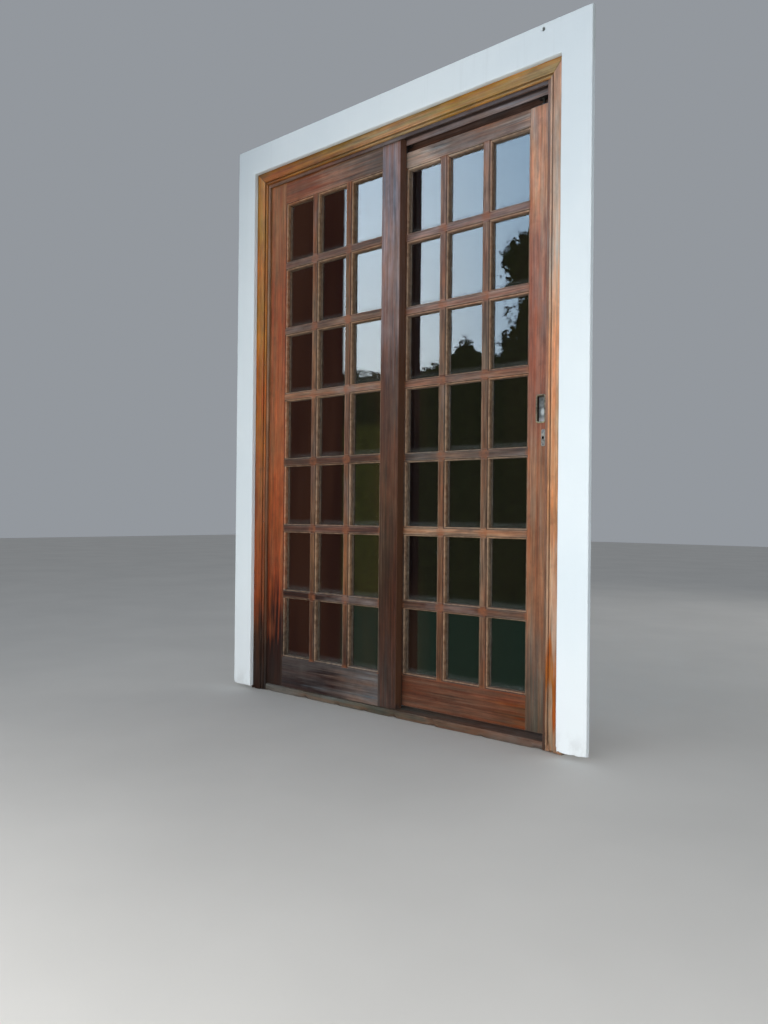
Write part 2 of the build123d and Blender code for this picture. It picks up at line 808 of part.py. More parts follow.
def edge_screw_planes(x, height, inset):
    """Two screws of a plate in the closing edge or in the jamb opposite it."""
    toward = 1 if x < groove_x else -1
    return [Plane((x, channel_y, keyhole_height + side * (height / 2 - inset)), z_dir=(toward, 0, 0))
            for side in (-1, 1)]


def faceplate_screw_planes():
    """Screws of the lock's faceplate."""
    return edge_screw_planes(closing_edge, faceplate_height, plate_screw_inset)


def strike_screw_planes():
    """Screws of the strike plate."""
    return edge_screw_planes(groove_x, strike_height, plate_screw_inset)


def cut_keyhole(thickness):
    """Round keyhole through whatever is being built."""
    with Locations(Plane((keyhole_x, channel_y - thickness / 2, keyhole_height), z_dir=(0, -1, 0))):
        Hole(keyhole_radius, thickness)


def cut_lock():
    """Mortise for the lock, its screws, its keyhole and the pockets of both pulls."""
    block((closing_edge, case_back - lock_play), about(channel_y, lock_case_thickness / 2 + lock_play),
          about(keyhole_height, lock_case_height / 2 + lock_play), Mode.SUBTRACT)
    block((closing_edge, case_front), about(channel_y, faceplate_width / 2),
          about(keyhole_height, faceplate_height / 2), Mode.SUBTRACT)
    screws(faceplate_screw_planes(), mode=Mode.SUBTRACT)
    screws(escutcheon_screw_planes(), escutcheon_screw_length, Mode.SUBTRACT)
    cut_keyhole(leaf_thickness)
    for face in pull_planes():
        with BuildSketch(face) as pocket:
            RectangleRounded(cup_width + 2 * lock_play, cup_height + 2 * lock_play, cup_corner)
        extrude(pocket.sketch, amount=-pull_cup_depth - lock_play, mode=Mode.SUBTRACT)


def build_lock_case():
    """Lock case with the hollow that the hook turns in, open towards the faceplate."""
    with BuildPart() as case:
        block((case_front, case_back), about(channel_y, lock_case_thickness / 2),
              about(keyhole_height, lock_case_height / 2))
        with BuildSketch(facing_plane(channel_depth)):
            with Locations((pivot_x, keyhole_height)):
                Circle(beak_outer + beak_swing_play)
        extrude(amount=beak_thickness / 2 + lock_play, both=True, mode=Mode.SUBTRACT)
        with Locations(Plane((pivot_x, channel_y - lock_case_thickness / 2, keyhole_height),
                             z_dir=(0, -1, 0))):
            Hole(beak_pin_radius, lock_case_thickness)
        cut_keyhole(lock_case_thickness)
    return case


def build_faceplate():
    """Faceplate flush with the closing edge, slotted for the hook."""
    with BuildPart() as plate:
        block((closing_edge, case_front), about(channel_y, faceplate_width / 2),
              about(keyhole_height, faceplate_height / 2))
        block((closing_edge, case_front), about(channel_y, beak_thickness / 2 + lock_play),
              about(keyhole_height, beak_outer + beak_swing_play), Mode.SUBTRACT)
        screws(faceplate_screw_planes(), mode=Mode.SUBTRACT)
    return plate


def ring_sector(inner, outer, start, end):
    """Part of a ring round the pivot of the hook, between two angles."""
    centre = (pivot_x, keyhole_height)
    with BuildSketch(facing_plane(channel_depth)) as sector:
        with BuildLine():
            near = CenterArc(centre, inner, start, end - start)
            far = CenterArc(centre, outer, start, end - start)
            Line(near @ 0, far @ 0)
            Line(near @ 1, far @ 1)
        make_face()
    return sector.sketch


def build_beak():
    """Hook of the lock, drawn back inside the case: a hub, an arm and a curved claw."""
    arm = ring_sector(beak_hub - arris, beak_outer, beak_rest_tail, beak_rest_tail + beak_arm)
    claw = ring_sector(beak_inner, beak_outer, beak_rest_tail, beak_rest_tip)
    with BuildPart() as beak:
        with BuildSketch(facing_plane(channel_depth)):
            with Locations((pivot_x, keyhole_height)):
                Circle(beak_hub)
        extrude(amount=beak_thickness / 2, both=True)
        extrude(arm + claw, amount=beak_thickness / 2, both=True)
        with Locations(Plane((pivot_x, channel_y - beak_thickness / 2, keyhole_height), z_dir=(0, -1, 0))):
            Hole(beak_pin_radius + beak_pin_play, beak_thickness)
    return beak


def build_beak_pin():
    """Pin that the hook turns on, across the case."""
    with BuildPart() as pin:
        with BuildSketch(facing_plane(channel_depth)):
            with Locations((pivot_x, keyhole_height)):
                Circle(beak_pin_radius)
        extrude(amount=lock_case_thickness / 2, both=True)
    return pin


def build_strike():
    """Strike plate let into the jamb, slotted for the hook."""
    with BuildPart() as plate:
        block((groove_x, strike_back), about(channel_y, strike_width / 2),
              about(keyhole_height, strike_height / 2))
        block((groove_x, strike_back), about(channel_y, strike_slot_width / 2),
              about(keyhole_height, strike_slot_height / 2), Mode.SUBTRACT)
        screws(strike_screw_planes(), mode=Mode.SUBTRACT)
    return plate


def build_escutcheon(face):
    """Oblong plate round the keyhole, with two screws."""
    with BuildPart() as plate:
        with BuildSketch(face):
            RectangleRounded(escutcheon_width, escutcheon_height, escutcheon_corner)
            Circle(keyhole_radius, mode=Mode.SUBTRACT)
        extrude(amount=escutcheon_thickness)
        screws(escutcheon_screw_planes(), escutcheon_screw_length, Mode.SUBTRACT)
    return plate


def build_pull(face):
    """Flush pull pressed as one dish, with a flat rim on the stile."""
    with BuildPart() as pull:
        with BuildSketch(face):
            RectangleRounded(pull_width, pull_height, pull_corner)
        extrude(amount=pull_rim_thickness)
        with BuildSketch(face):
            RectangleRounded(cup_width, cup_height, cup_corner)
        extrude(amount=-pull_cup_depth)
        with BuildSketch(face.offset(pull_rim_thickness)):
            RectangleRounded(cup_width - 2 * pull_wall, cup_height - 2 * pull_wall, cup_corner - pull_wall)
        extrude(amount=pull_wall - pull_rim_thickness - pull_cup_depth, mode=Mode.SUBTRACT)
    return pull


def build_screws(planes, length=small_screw_length):
    """Group of like screws."""
    with BuildPart() as group:
        screws(planes, length)
    return group


pane_cutter = build_pane_cutter()
pane_beads = build_pane_beads()
fixed = Leaf("fixed", -groove_x, -1, fixed_front, fixed_bottom, fixed_top)
sliding = Leaf("sliding", sliding_x, 1, sliding_front, sliding_bottom, sliding_top)

# Frame
finish(build_surround(), "surround")
finish(build_jamb(-1), "jamb_left")
finish(build_jamb(1), "jamb_right")
finish(build_head(), "head")
finish(build_divider(), "head_divider")
finish(build_sill(), "sill")
finish(build_moulding(-1), "moulding_left")
finish(build_moulding(0), "moulding_head")
finish(build_moulding(1), "moulding_right")
with BuildPart() as moulding_nails:
    drive_nails()
finish(moulding_nails, "moulding_nails")

# Both leaves, piece by piece
for leaf in (fixed, sliding):
    for side in (-1, 1):
        place = "outer" if side == leaf.outer_side else "meeting"
        finish(build_stile(leaf, side), f"{leaf.name}_{place}_stile")
    finish(build_rail(leaf, leaf.bottom, grid_bottom), f"{leaf.name}_bottom_rail")
    finish(build_rail(leaf, grid_top, leaf.top), f"{leaf.name}_top_rail")
    for number, x in enumerate(leaf.posts, start=1):
        finish(build_post(leaf, x), f"{leaf.name}_upright_bar_{number}")
    finish(build_cross_bars(leaf), f"{leaf.name}_cross_bars")
    finish(build_glass(leaf), f"{leaf.name}_glass")
    finish(build_beads(leaf), f"{leaf.name}_glazing_beads")

# Running gear
finish(build_track(), "head_track")
finish(build_screws(track_screw_planes()), "track_screws")
finish(build_buffers(), "track_buffers")
for number, x in enumerate(trolley_places, start=1):
    finish(build_trolley(x), f"trolley_{number}")
    finish(build_axle(x), f"axle_{number}")
    finish(build_wheels(x), f"wheels_{number}")
finish(build_hanger_plates(), "hanger_plates")
finish(build_screws(hanger_screw_planes()), "hanger_screws")
finish(build_hanger_bolts(), "hanger_bolts")
finish(build_hanger_nuts(), "hanger_nuts")
finish(build_guide(), "floor_guide")
finish(build_screws(guide_screw_planes(sill_height + guide_base)), "guide_screws")

# Lock and pulls
finish(build_lock_case(), "lock_case")
finish(build_faceplate(), "lock_faceplate")
finish(build_screws(faceplate_screw_planes()), "faceplate_screws")
finish(build_beak(), "lock_beak")
finish(build_beak_pin(), "beak_pin")
finish(build_strike(), "strike_plate")
finish(build_screws(strike_screw_planes()), "strike_screws")
for name, face in zip(("outside", "inside"), lock_face_planes()):
    finish(build_escutcheon(face), f"{name}_escutcheon")
finish(build_screws(escutcheon_screw_planes(), escutcheon_screw_length), "escutcheon_screws")
for name, face in zip(("outside", "inside"), pull_planes()):
    finish(build_pull(face), f"{name}_pull")
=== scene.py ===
import json
from math import ceil, cos, pi, radians, sin

import bmesh
import bpy
from mathutils import Matrix, Vector, noise


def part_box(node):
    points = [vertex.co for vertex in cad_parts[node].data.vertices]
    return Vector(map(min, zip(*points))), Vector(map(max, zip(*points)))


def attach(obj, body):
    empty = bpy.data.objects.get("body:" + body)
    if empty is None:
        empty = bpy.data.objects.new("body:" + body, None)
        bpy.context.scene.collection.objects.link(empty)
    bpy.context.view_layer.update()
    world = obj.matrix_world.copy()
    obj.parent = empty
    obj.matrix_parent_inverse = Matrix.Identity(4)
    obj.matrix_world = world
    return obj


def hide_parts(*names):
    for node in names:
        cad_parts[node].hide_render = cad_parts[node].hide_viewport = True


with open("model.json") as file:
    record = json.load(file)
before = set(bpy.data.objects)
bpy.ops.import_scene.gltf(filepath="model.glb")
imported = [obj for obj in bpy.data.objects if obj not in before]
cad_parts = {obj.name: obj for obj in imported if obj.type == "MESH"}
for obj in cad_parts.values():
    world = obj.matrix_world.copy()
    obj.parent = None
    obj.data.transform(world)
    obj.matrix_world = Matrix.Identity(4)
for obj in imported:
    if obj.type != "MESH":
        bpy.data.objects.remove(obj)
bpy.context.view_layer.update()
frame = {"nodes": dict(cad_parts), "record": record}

nodes = frame["nodes"]
body_of = {node: body for body, held in frame["record"]["behaviour"]["bodies"].items() for node in held}

# Moulded openings round the panes, the width of their moulded edge and where each leaf's first column starts
columns, column_pitch, opening_width = 3, 0.178, 0.156
rows, row_pitch, opening_height = 7, 0.267, 0.245
openings_bottom = 0.147
edge_width = 0.007
first_column = {"fixed": -0.552, "sliding": 0.037}

# Middle plane of the sliding leaf, ends of the channel in the head and small hole in the surround
leaf_middle = 0.0345
channel_back, channel_top = 0.054, 2.1315
hole_x, hole_z = 0.6387, 2.2355

# Angle in degrees from which an edge counts as sharp
sharp_angle = 28


# Camera, light and floor
def set_camera():
    """Camera at the place, direction and angle of view of the photograph."""
    place = (1.851, -2.2705, 0.727)
    yaw, pitch, roll = radians(39.79), radians(0.22), radians(0.56)
    focal_pixels, height_pixels = 800, 1024
    ahead = Vector((-sin(yaw) * cos(pitch), cos(yaw) * cos(pitch), sin(pitch)))
    level = Vector((cos(yaw), sin(yaw), 0))
    over = level.cross(ahead)
    right = level * cos(roll) + over * sin(roll)
    up = over * cos(roll) - level * sin(roll)
    data = bpy.data.cameras.new("camera")
    data.sensor_width = 36
    data.lens = data.sensor_width * focal_pixels / height_pixels
    camera = bpy.data.objects.new("camera", data)
    bpy.context.scene.collection.objects.link(camera)
    camera.matrix_world = Matrix.Translation(place) @ Matrix((right, up, -ahead)).transposed().to_4x4()
    bpy.context.scene.camera = camera


def add_light(name, place, target, width, height, radiance, colour):
    """Rectangular light that faces a target, with its strength given as radiance."""
    data = bpy.data.lights.new(name, "AREA")
    data.shape = "RECTANGLE"
    data.size, data.size_y = width, height
    data.energy = radiance * pi * width * height
    data.color = colour
    light = bpy.data.objects.new(name, data)
    bpy.context.scene.collection.objects.link(light)
    light.location = place
    light.rotation_euler = (Vector(target) - Vector(place)).to_track_quat("-Z", "Y").to_euler()
    light.visible_camera = False
    light.visible_glossy = False
    light.visible_transmission = False


def set_stage():
    """Soft light, a pale floor, a quiet background and the cards that the panes mirror or show."""
    world = bpy.data.worlds.new("world")
    world.use_nodes = True
    background = world.node_tree.nodes["Background"]
    background.inputs["Color"].default_value = (0.86, 0.92, 1.0, 1)
    background.inputs["Strength"].default_value = 0.34
    bpy.context.scene.world = world
    bpy.context.scene.view_settings.view_transform = "Standard"
    add_light("key", (0.6, -2.7, 0.6), (0.6, 0, 0.7), 3.6, 1.0, 4.5, (1.0, 1.0, 1.0))
    add_light("fill", (2.5, -1.7, 0.8), (0.8, 0, 0.8), 1.0, 1.3, 2.35, (1.0, 1.0, 1.0))
    add_light("back", (1.5, 4.5, 3.2), (0, 0, 1.1), 3.5, 2.5, 1.3, (1.0, 0.98, 0.95))
    floor = sheet("floor", [(-20, -20, 0), (20, -20, 0), (20, 20, 0), (-20, 20, 0)])
    floor.location.z = -0.0005
    floor.data.materials.append(plain("floor", (0.70, 0.68, 0.64), 0.8))
    floor.visible_glossy = False
    floor.visible_transmission = False
    set_mirrored_card()
    set_room_card()


def sheet(name, corners):
    """New sheet with four corners."""
    mesh = bpy.data.meshes.new(name)
    mesh.from_pydata(corners, [], [(0, 1, 2, 3)])
    made = bpy.data.objects.new(name, mesh)
    bpy.context.scene.collection.objects.link(made)
    return made


def stage_card(name, corners, m, colour, seen_by):
    """Large sheet that glows and that only the named kinds of rays meet."""
    card = sheet(name, corners)
    emission = m.new("Emission", {"Color": colour, "Strength": 1.0})
    m.tree.links.new(emission.outputs[0], m.tree.nodes["Material Output"].inputs["Surface"])
    m.tree.nodes.remove(m.shader)
    card.data.materials.append(m.material)
    for kind in ("camera", "diffuse", "glossy", "transmission", "volume_scatter", "shadow"):
        setattr(card, "visible_" + kind, kind in seen_by)


def set_room_card():
    """Dark glowing sheet that paints the shade of the room seen through the panes from outside alone,
    darkest behind the sliding leaf.
    """
    corners = [(x, 0.7, z) for x, z in ((-4, -2), (3, -2), (3, 4), (-4, 4))]
    m = Nodes("room")
    folds = m.noise((7, 1, 0.8), 3, 0.5, 4)
    shade = m.mix(m.span(folds, 0.4, 0.62), (0.004, 0.002, 0.002), (0.017, 0.008, 0.005))
    # Painted shade: darker still behind the sliding leaf.
    shade = m.mix(m.span(m.x, -0.32, -0.22, 0.0, 0.75), shade, (0.001, 0.001, 0.001))
    stage_card("room", corners, m, shade, ("transmission",))


def set_mirrored_card():
    """What the panes mirror: pale sky over a hill, a garden with a tree, a bush and a lawn, and dark to the
    left. Places are metres along the card from its origin."""
    origin, turn = Vector((-1.227, -6.197, 0)), radians(20)
    along = Vector((cos(turn), -sin(turn), 0))
    corners = [origin + along * u + Vector((0, 0, z)) for u, z in ((-9, -6), (7, -6), (7, 12), (-9, 12))]
    m = Nodes("mirrored")
    across = m.plus(m.times(m.x, cos(turn)), m.times(m.y, -sin(turn)))
    place = m.maths("SUBTRACT", across, origin.dot(along))
    fine = m.noise(20, 7, 0.8, 11)
    clumps = m.noise(2.2, 4, 0.55, 3)
    crown = m.times(m.plateau(place, -2.52, -2.34, -2.28, -2.10), 0.22)
    hill = m.plus(m.span(place, -3.2, -1.6, 2.44, 2.66), crown, m.span(fine, 0.3, 0.7, -0.10, 0.10),
                  m.span(clumps, 0.3, 0.7, -0.07, 0.07))
    over_hill = m.span(m.maths("SUBTRACT", m.z, hill), -0.02, 0.02)

    def from_tree(tree_place, tree_z, half_width, half_height):
        """Distance from a tree's middle, as a share of its half sizes."""
        aside = m.maths("DIVIDE", m.maths("SUBTRACT", place, tree_place), half_width)
        above = m.maths("DIVIDE", m.maths("SUBTRACT", m.z, tree_z), half_height)
        return m.maths("SQRT", m.plus(m.times(aside, aside), m.times(above, above)))

    reach = m.maths("MINIMUM", from_tree(-1.46, 3.58, 0.44, 0.48), from_tree(-1.44, 2.75, 0.42, 0.62))
    boughs = m.noise(5, 4, 0.6, 5)
    reach = m.plus(reach, m.span(fine, 0.3, 0.7, -0.30, 0.30), m.span(boughs, 0.3, 0.7, -0.24, 0.24))
    open_sky = m.times(over_hill, m.span(reach, 0.94, 1.0))
    sky = m.ramp(m.span(m.z, 2.3, 6.0),
                 [(0.0, (5.0, 5.6, 6.0)), (0.5, (4.2, 5.1, 6.0)), (1.0, (3.2, 4.2, 5.5))])
    sky = m.mix(m.span(place, -2.9, -1.5, 0.0, 0.75), sky, (2.0, 3.1, 4.4))
    leaves = m.span(fine, 0.34, 0.66)
    trees = m.mix(leaves, (0.020, 0.024, 0.012), (0.105, 0.135, 0.050))
    bush = m.times(m.span(place, -3.20, -3.10, 1.0, 0.0),
                   m.span(m.plus(m.z, m.span(fine, 0.3, 0.7, -0.08, 0.08)), 1.78, 1.84, 1.0, 0.0))
    trees = m.mix(bush, trees, m.mix(leaves, (0.060, 0.062, 0.020), (0.260, 0.300, 0.075)))
    lawn = m.span(m.z, -0.45, -0.20, 1.0, 0.0)
    trees = m.mix(lawn, trees, m.mix(leaves, (0.045, 0.120, 0.080), (0.085, 0.200, 0.135)))
    beside = m.mix(m.span(place, -3.80, -3.76), (0.13, 0.04, 0.025), m.mix(open_sky, trees, sky))
    stage_card("mirrored", corners, m, beside, ("glossy", "transmission"))


# Material nodes
class Nodes:
    """Short way to write a material's nodes. A number, colour or socket may go into any input."""

    def __init__(self, name):
        self.material = bpy.data.materials.new(name)
        self.material.use_nodes = True
        self.tree = self.material.node_tree
        self.shader = self.tree.nodes["Principled BSDF"]
        self.place = self.tree.nodes.new("ShaderNodeTexCoord").outputs["Object"]
        self.x, self.y, self.z = self.parts(self.place)

    def put(self, node, inputs):
        for key, value in inputs.items():
            socket = node.inputs[key]
            if isinstance(value, bpy.types.NodeSocket):
                self.tree.links.new(value, socket)
            elif isinstance(value, tuple) and len(value) == 3 and socket.type == "RGBA":
                socket.default_value = (*value, 1)
            else:
                socket.default_value = value
        return node

    def new(self, kind, inputs=None, **settings):
        node = self.tree.nodes.new("ShaderNode" + kind)
        for key, value in settings.items():
            setattr(node, key, value)
        return self.put(node, inputs or {})

    def parts(self, vector):
        node = self.new("SeparateXYZ", {0: vector})
        return node.outputs[0], node.outputs[1], node.outputs[2]

    def join(self, x, y, z):
        return self.new("CombineXYZ", {0: x, 1: y, 2: z}).outputs[0]

    def maths(self, operation, *values):
        return self.new("Math", dict(enumerate(values)), operation=operation).outputs[0]

    def plus(self, total, *others):
        for other in others:
            total = self.maths("ADD", total, other)
        return total

    def times(self, product, *others):
        for other in others:
            product = self.maths("MULTIPLY", product, other)
        return product

    def distance(self, x, z, squeeze=1.0):
        """Distance from a place in X and Z, where the distance along X counts squeeze times."""
        aside = self.times(self.maths("SUBTRACT", self.x, x), squeeze)
        vector = self.join(aside, 0.0, self.maths("SUBTRACT", self.z, z))
        return self.new("VectorMath", {0: vector}, operation="LENGTH").outputs["Value"]

    def noise(self, scales, detail=4.0, rough=0.55, shift=0.0, warp=0.0):
        """Noise with its own scale along X, Y and Z, or one number for all three, per metre."""
        if not isinstance(scales, tuple):
            scales = (scales, scales, scales)
        vector = self.new("Mapping", {"Vector": self.place, "Location": (shift, shift * 0.7, shift * 1.3),
                                      "Scale": scales}).outputs[0]
        return self.new("TexNoise", {"Vector": vector, "Scale": 1.0, "Detail": detail, "Roughness": rough,
                                     "Distortion": warp}).outputs["Fac"]

    def ramp(self, factor, stops):
        """Colours along a factor."""
        node = self.new("ValToRGB", {"Fac": factor})
        points = node.color_ramp.elements
        while len(points) < len(stops):
            points.new(1.0)
        for point, (at, colour) in zip(points, stops):
            point.position = at
            point.color = (*colour, 1)
        return node.outputs["Color"]

    def plateau(self, value, start, full, last, end):
        """0 up to start, 1 from full to last and 0 from end on."""
        return self.times(self.span(value, start, full), self.span(value, last, end, 1.0, 0.0))

    def span(self, value, low, high, to_low=0.0, to_high=1.0, smooth=False):
        """Value carried from one span to another, held at its ends."""
        return self.new("MapRange", {"Value": value, "From Min": low, "From Max": high, "To Min": to_low,
                                     "To Max": to_high},
                        interpolation_type="SMOOTHSTEP" if smooth else "LINEAR").outputs["Result"]

    def mix(self, factor, first, second, blend="MIX"):
        node = self.new("Mix", data_type="RGBA", blend_type=blend)
        return self.put(node, {0: factor, 6: first, 7: second}).outputs[2]

    def tint(self, colour, shade):
        """Colour multiplied by another colour or by a grey."""
        return self.mix(1.0, colour, shade, "MULTIPLY")

    def bump(self, height, distance, strength, normal=None):
        inputs = {"Height": height, "Distance": distance, "Strength": strength}
        if normal:
            inputs["Normal"] = normal
        return self.new("Bump", inputs).outputs["Normal"]

    def occlusion(self, distance, inside=False):
        """1 on open faces, towards 0 in a corner, or with inside towards 0 at an outer edge."""
        return self.new("AmbientOcclusion", {"Distance": distance}, samples=4, inside=inside,
                        only_local=True).outputs["AO"]

    def surface(self, **inputs):
        self.put(self.shader, {key.replace("_", " "): value for key, value in inputs.items()})
        return self.material


def plain(name, colour, rough):
    """Even matt surface with a faint mottle."""
    m = Nodes(name)
    mottle = m.noise(1.5, 3)
    darker = tuple(0.94 * part for part in colour)
    return m.surface(Base_Color=m.mix(m.span(mottle, 0.35, 0.65), darker, colour), Roughness=rough)


def pane_openings(m, left):
    """How far a point is from the left side and from the foot of the moulded opening that its column and row
    belong to. left is where the first column starts."""
    across = m.maths("FLOORED_MODULO", m.maths("SUBTRACT", m.x, left), column_pitch)
    up = m.maths("FLOORED_MODULO", m.maths("SUBTRACT", m.z, openings_bottom), row_pitch)
    return across, up


def moulded_edges(m, colour, light, left, shift):
    """The wood round a leaf's panes: orange where the bars cross, a pale ovolo and rim that are worn and
    carry a painted highlight, and dark lines of painted shade in the quirk and at the glass."""
    across, up = pane_openings(m, left)
    in_x = m.maths("MINIMUM", across, m.maths("SUBTRACT", opening_width, across))
    in_z = m.maths("MINIMUM", up, m.maths("SUBTRACT", opening_height, up))
    into = m.maths("MINIMUM", in_x, in_z)
    margin, soft = 0.002, 0.0001
    start_x, start_z = left - margin, openings_bottom - margin
    end_x = left + (columns - 1) * column_pitch + opening_width + margin
    end_z = openings_bottom + (rows - 1) * row_pitch + opening_height + margin
    field = m.times(m.plateau(m.x, start_x - soft, start_x, end_x, end_x + soft),
                    m.plateau(m.z, start_z - soft, start_z, end_z, end_z + soft))
    ragged = m.span(m.noise(55, 4, 0.65, shift + 81), 0.35, 0.62, 0.25, 1.0)
    crossing = m.times(m.span(in_x, 0.0, 0.012, 1.0, 0.0), m.span(in_z, 0.0, 0.012, 1.0, 0.0), field,
                       m.span(m.noise(48, 4, 0.6, shift + 87), 0.36, 0.60, 0.15, 0.75))
    colour = m.mix(crossing, colour, (0.270, 0.092, 0.036))
    # Pale ovolo and rim: wood worn pale, with a painted highlight on top.
    ovolo = m.times(m.span(into, 0.0022, 0.0034), ragged, field, 0.70)
    colour = m.mix(ovolo, colour, m.mix(0.60, light, (0.62, 0.43, 0.27)))
    rim = m.times(m.plateau(into, -0.0018, -0.0006, 0.0002, 0.0006), ragged, field, 0.5)
    colour = m.mix(rim, colour, m.mix(0.6, light, (0.56, 0.42, 0.30)))
    # Painted shade: dark lines in the quirk and along the seat at the glass.
    quirk = m.plateau(into, 0.0002, 0.0007, 0.0017, 0.0024)
    seat = m.span(into, edge_width - 0.0008, edge_width + 0.0002)
    return m.mix(m.times(m.maths("MAXIMUM", quirk, seat), field, 0.9), colour, (0.020, 0.011, 0.008))


def wood(name, along, tones, by=None, grey=0.0, grey_tone=(0.24, 0.20, 0.18), foot=0.0, worn=0.5, dirt_and_shade=0.5,
         hidden=0.0, left=None, shades=(), bores=(), streaks=0.15, rough=0.55, shift=0.0):
    """Weathered varnished hardwood. along is the grain's axis, 0 for X and 2 for Z. tones are
    (place, dark tone, light tone) in metres along that axis, or along by. grey, foot, worn and stain are
    amounts of silvered patches, rot at the foot, pale worn edges with a painted highlight, and dark dirt
    with painted shade in the corners. Behind the place hidden along Y, in the channel of the head, the wood
    is darkened with painted shade. left is where the leaf's first column of panes starts. shades are (axis,
    from, to, amount, tone): the tone comes in between the two places. bores are the (x, z, radius) of holes
    with painted shade inside. streaks is the contrast of the fine stripes along the grain. shift moves every
    pattern, so that no two woods are alike."""
    m = Nodes(name)

    def grained(across, lengthwise, detail, rough_share, more, warp=0.0):
        """Noise with one scale across the grain and another along it."""
        scales = (across, across, lengthwise) if along == 2 else (lengthwise, across, across)
        return m.noise(scales, detail, rough_share, shift + more, warp)

    length = m.x if (along if by is None else by) == 0 else m.z
    place = m.plus(length, m.span(m.noise(3.0, 3, shift=shift + 9), 0.3, 0.7, -0.13, 0.13))
    if by is None:
        place = m.plus(place, m.span(grained(90, 2.5, 3, 0.6, 13), 0.3, 0.7, -0.10, 0.10))
    low, high = tones[0][0], tones[-1][0]
    share = m.span(place, low, high)
    dark = m.ramp(share, [((at - low) / (high - low), tone) for at, tone, _ in tones])
    light = m.ramp(share, [((at - low) / (high - low), tone) for at, _, tone in tones])
    grain = grained(38, 1.6, 6, 0.62, 0, 0.35)
    fibre = grained(260, 7, 5, 0.6, 3)
    streak = grained(150, 1.1, 3, 0.6, 5)
    amount = m.plus(m.span(grain, 0.34, 0.66, -0.05, 0.75), m.span(fibre, 0.3, 0.7, -0.22, 0.38))
    colour = m.mix(amount, dark, light)
    blotch = m.span(grained(11, 3.5, 5, 0.62, 71), 0.36, 0.64)
    colour = m.tint(colour, m.mix(blotch, (1.10, 0.86, 0.70), (0.90, 1.02, 1.12)))
    band = m.span(grained(75, 1.6, 3, 0.6, 77), 0.38, 0.62)
    colour = m.tint(colour, m.mix(band, (1.12, 0.90, 0.80), (0.91, 1.06, 1.16)))
    colour = m.tint(colour, m.span(grained(26, 9, 5, 0.65, 73), 0.36, 0.62, 0.82, 1.22))
    pale = m.times(m.span(grained(150, 1.1, 4, 0.7, 61), 0.60, 0.72), m.span(fibre, 0.3, 0.6), 0.35)
    colour = m.mix(pale, colour, m.mix(0.6, light, (0.46, 0.36, 0.27)))
    stripes = grained(190, 8, 4, 0.65, 91)
    colour = m.tint(colour, m.span(stripes, 0.36, 0.64, 1.0 - streaks, 1.0 + streaks))
    colour = m.tint(colour, m.span(streak, 0.30, 0.44, 0.62, 1.0))
    if grey:
        patch = m.span(grained(9, 2.2, 5, 0.6, 17), 0.62 - 0.34 * grey, 0.80 - 0.30 * grey)
        colour = m.mix(m.times(patch, m.span(fibre, 0.25, 0.6, 0.45, 0.95)), colour, grey_tone)
    # Pale edges: wood worn pale, with a painted highlight along the outer edges.
    edge = m.span(m.occlusion(0.0025, inside=True), 0.45, 0.85, 1.0, 0.0)
    edge = m.times(edge, m.span(m.noise(14, 3, shift=shift + 23), 0.40, 0.62, 0.1, 1.0), worn)
    colour = m.mix(edge, colour, m.mix(0.5, m.mix(0.5, dark, light), (0.42, 0.31, 0.23)))
    # Dark dirt in noisy spots, and painted shade in corners and creases.
    corner = m.span(m.occlusion(0.010), 0.35, 0.95, 1.0, 0.0)
    spots = m.times(m.span(m.noise(22, 4, shift=shift + 31), 0.60, 0.74), 0.5)
    colour = m.mix(m.times(m.maths("MAXIMUM", corner, spots), dirt_and_shade), colour, (0.022, 0.016, 0.013))
    if left is not None:
        colour = moulded_edges(m, colour, light, left, shift)
    # Painted shade: the wood inside the head's channel is darkened.
    if hidden:
        channel_shade = m.times(m.plateau(m.y, hidden - 0.004, hidden, channel_back - 0.0005, channel_back + 0.0005),
                        m.span(m.z, channel_top - 0.0005, channel_top + 0.0005, 1.0, 0.0), 0.9)
        colour = m.mix(channel_shade, colour, (0.060, 0.032, 0.024))
    for axis, start, full, most, tone in shades:
        there = m.span((m.x, m.y, m.z)[axis], start, full, 0.0, most)
        colour = m.mix(m.times(there, m.span(fibre, 0.2, 0.5, 0.7, 1.0)), colour, tone)
    # Painted shade inside the holes, such as the keyhole.
    for bore_x, bore_z, radius in bores:
        inside = m.span(m.distance(bore_x, bore_z), radius + 0.0008, radius + 0.0014, 1.0, 0.0)
        colour = m.mix(inside, colour, (0.004, 0.003, 0.002))
    if foot:
        height = m.plus(m.z, m.span(m.noise((16, 16, 5), 4, shift=shift + 41), 0.3, 0.7, -0.10, 0.10))
        colour = m.mix(m.span(height, 0.02, 0.34, foot, 0.0, smooth=True), colour, (0.026, 0.018, 0.015))
    bumps = m.bump(fibre, 0.0006, 0.55, m.bump(streak, 0.0009, 0.6, m.bump(grain, 0.0012, 0.4)))
    gloss = m.span(m.noise((30, 30, 12), 4, shift=shift + 51), 0.3, 0.7, rough - 0.10, rough + 0.16)
    return m.surface(Base_Color=colour, Roughness=gloss, Normal=bumps, Specular_IOR_Level=0.22)


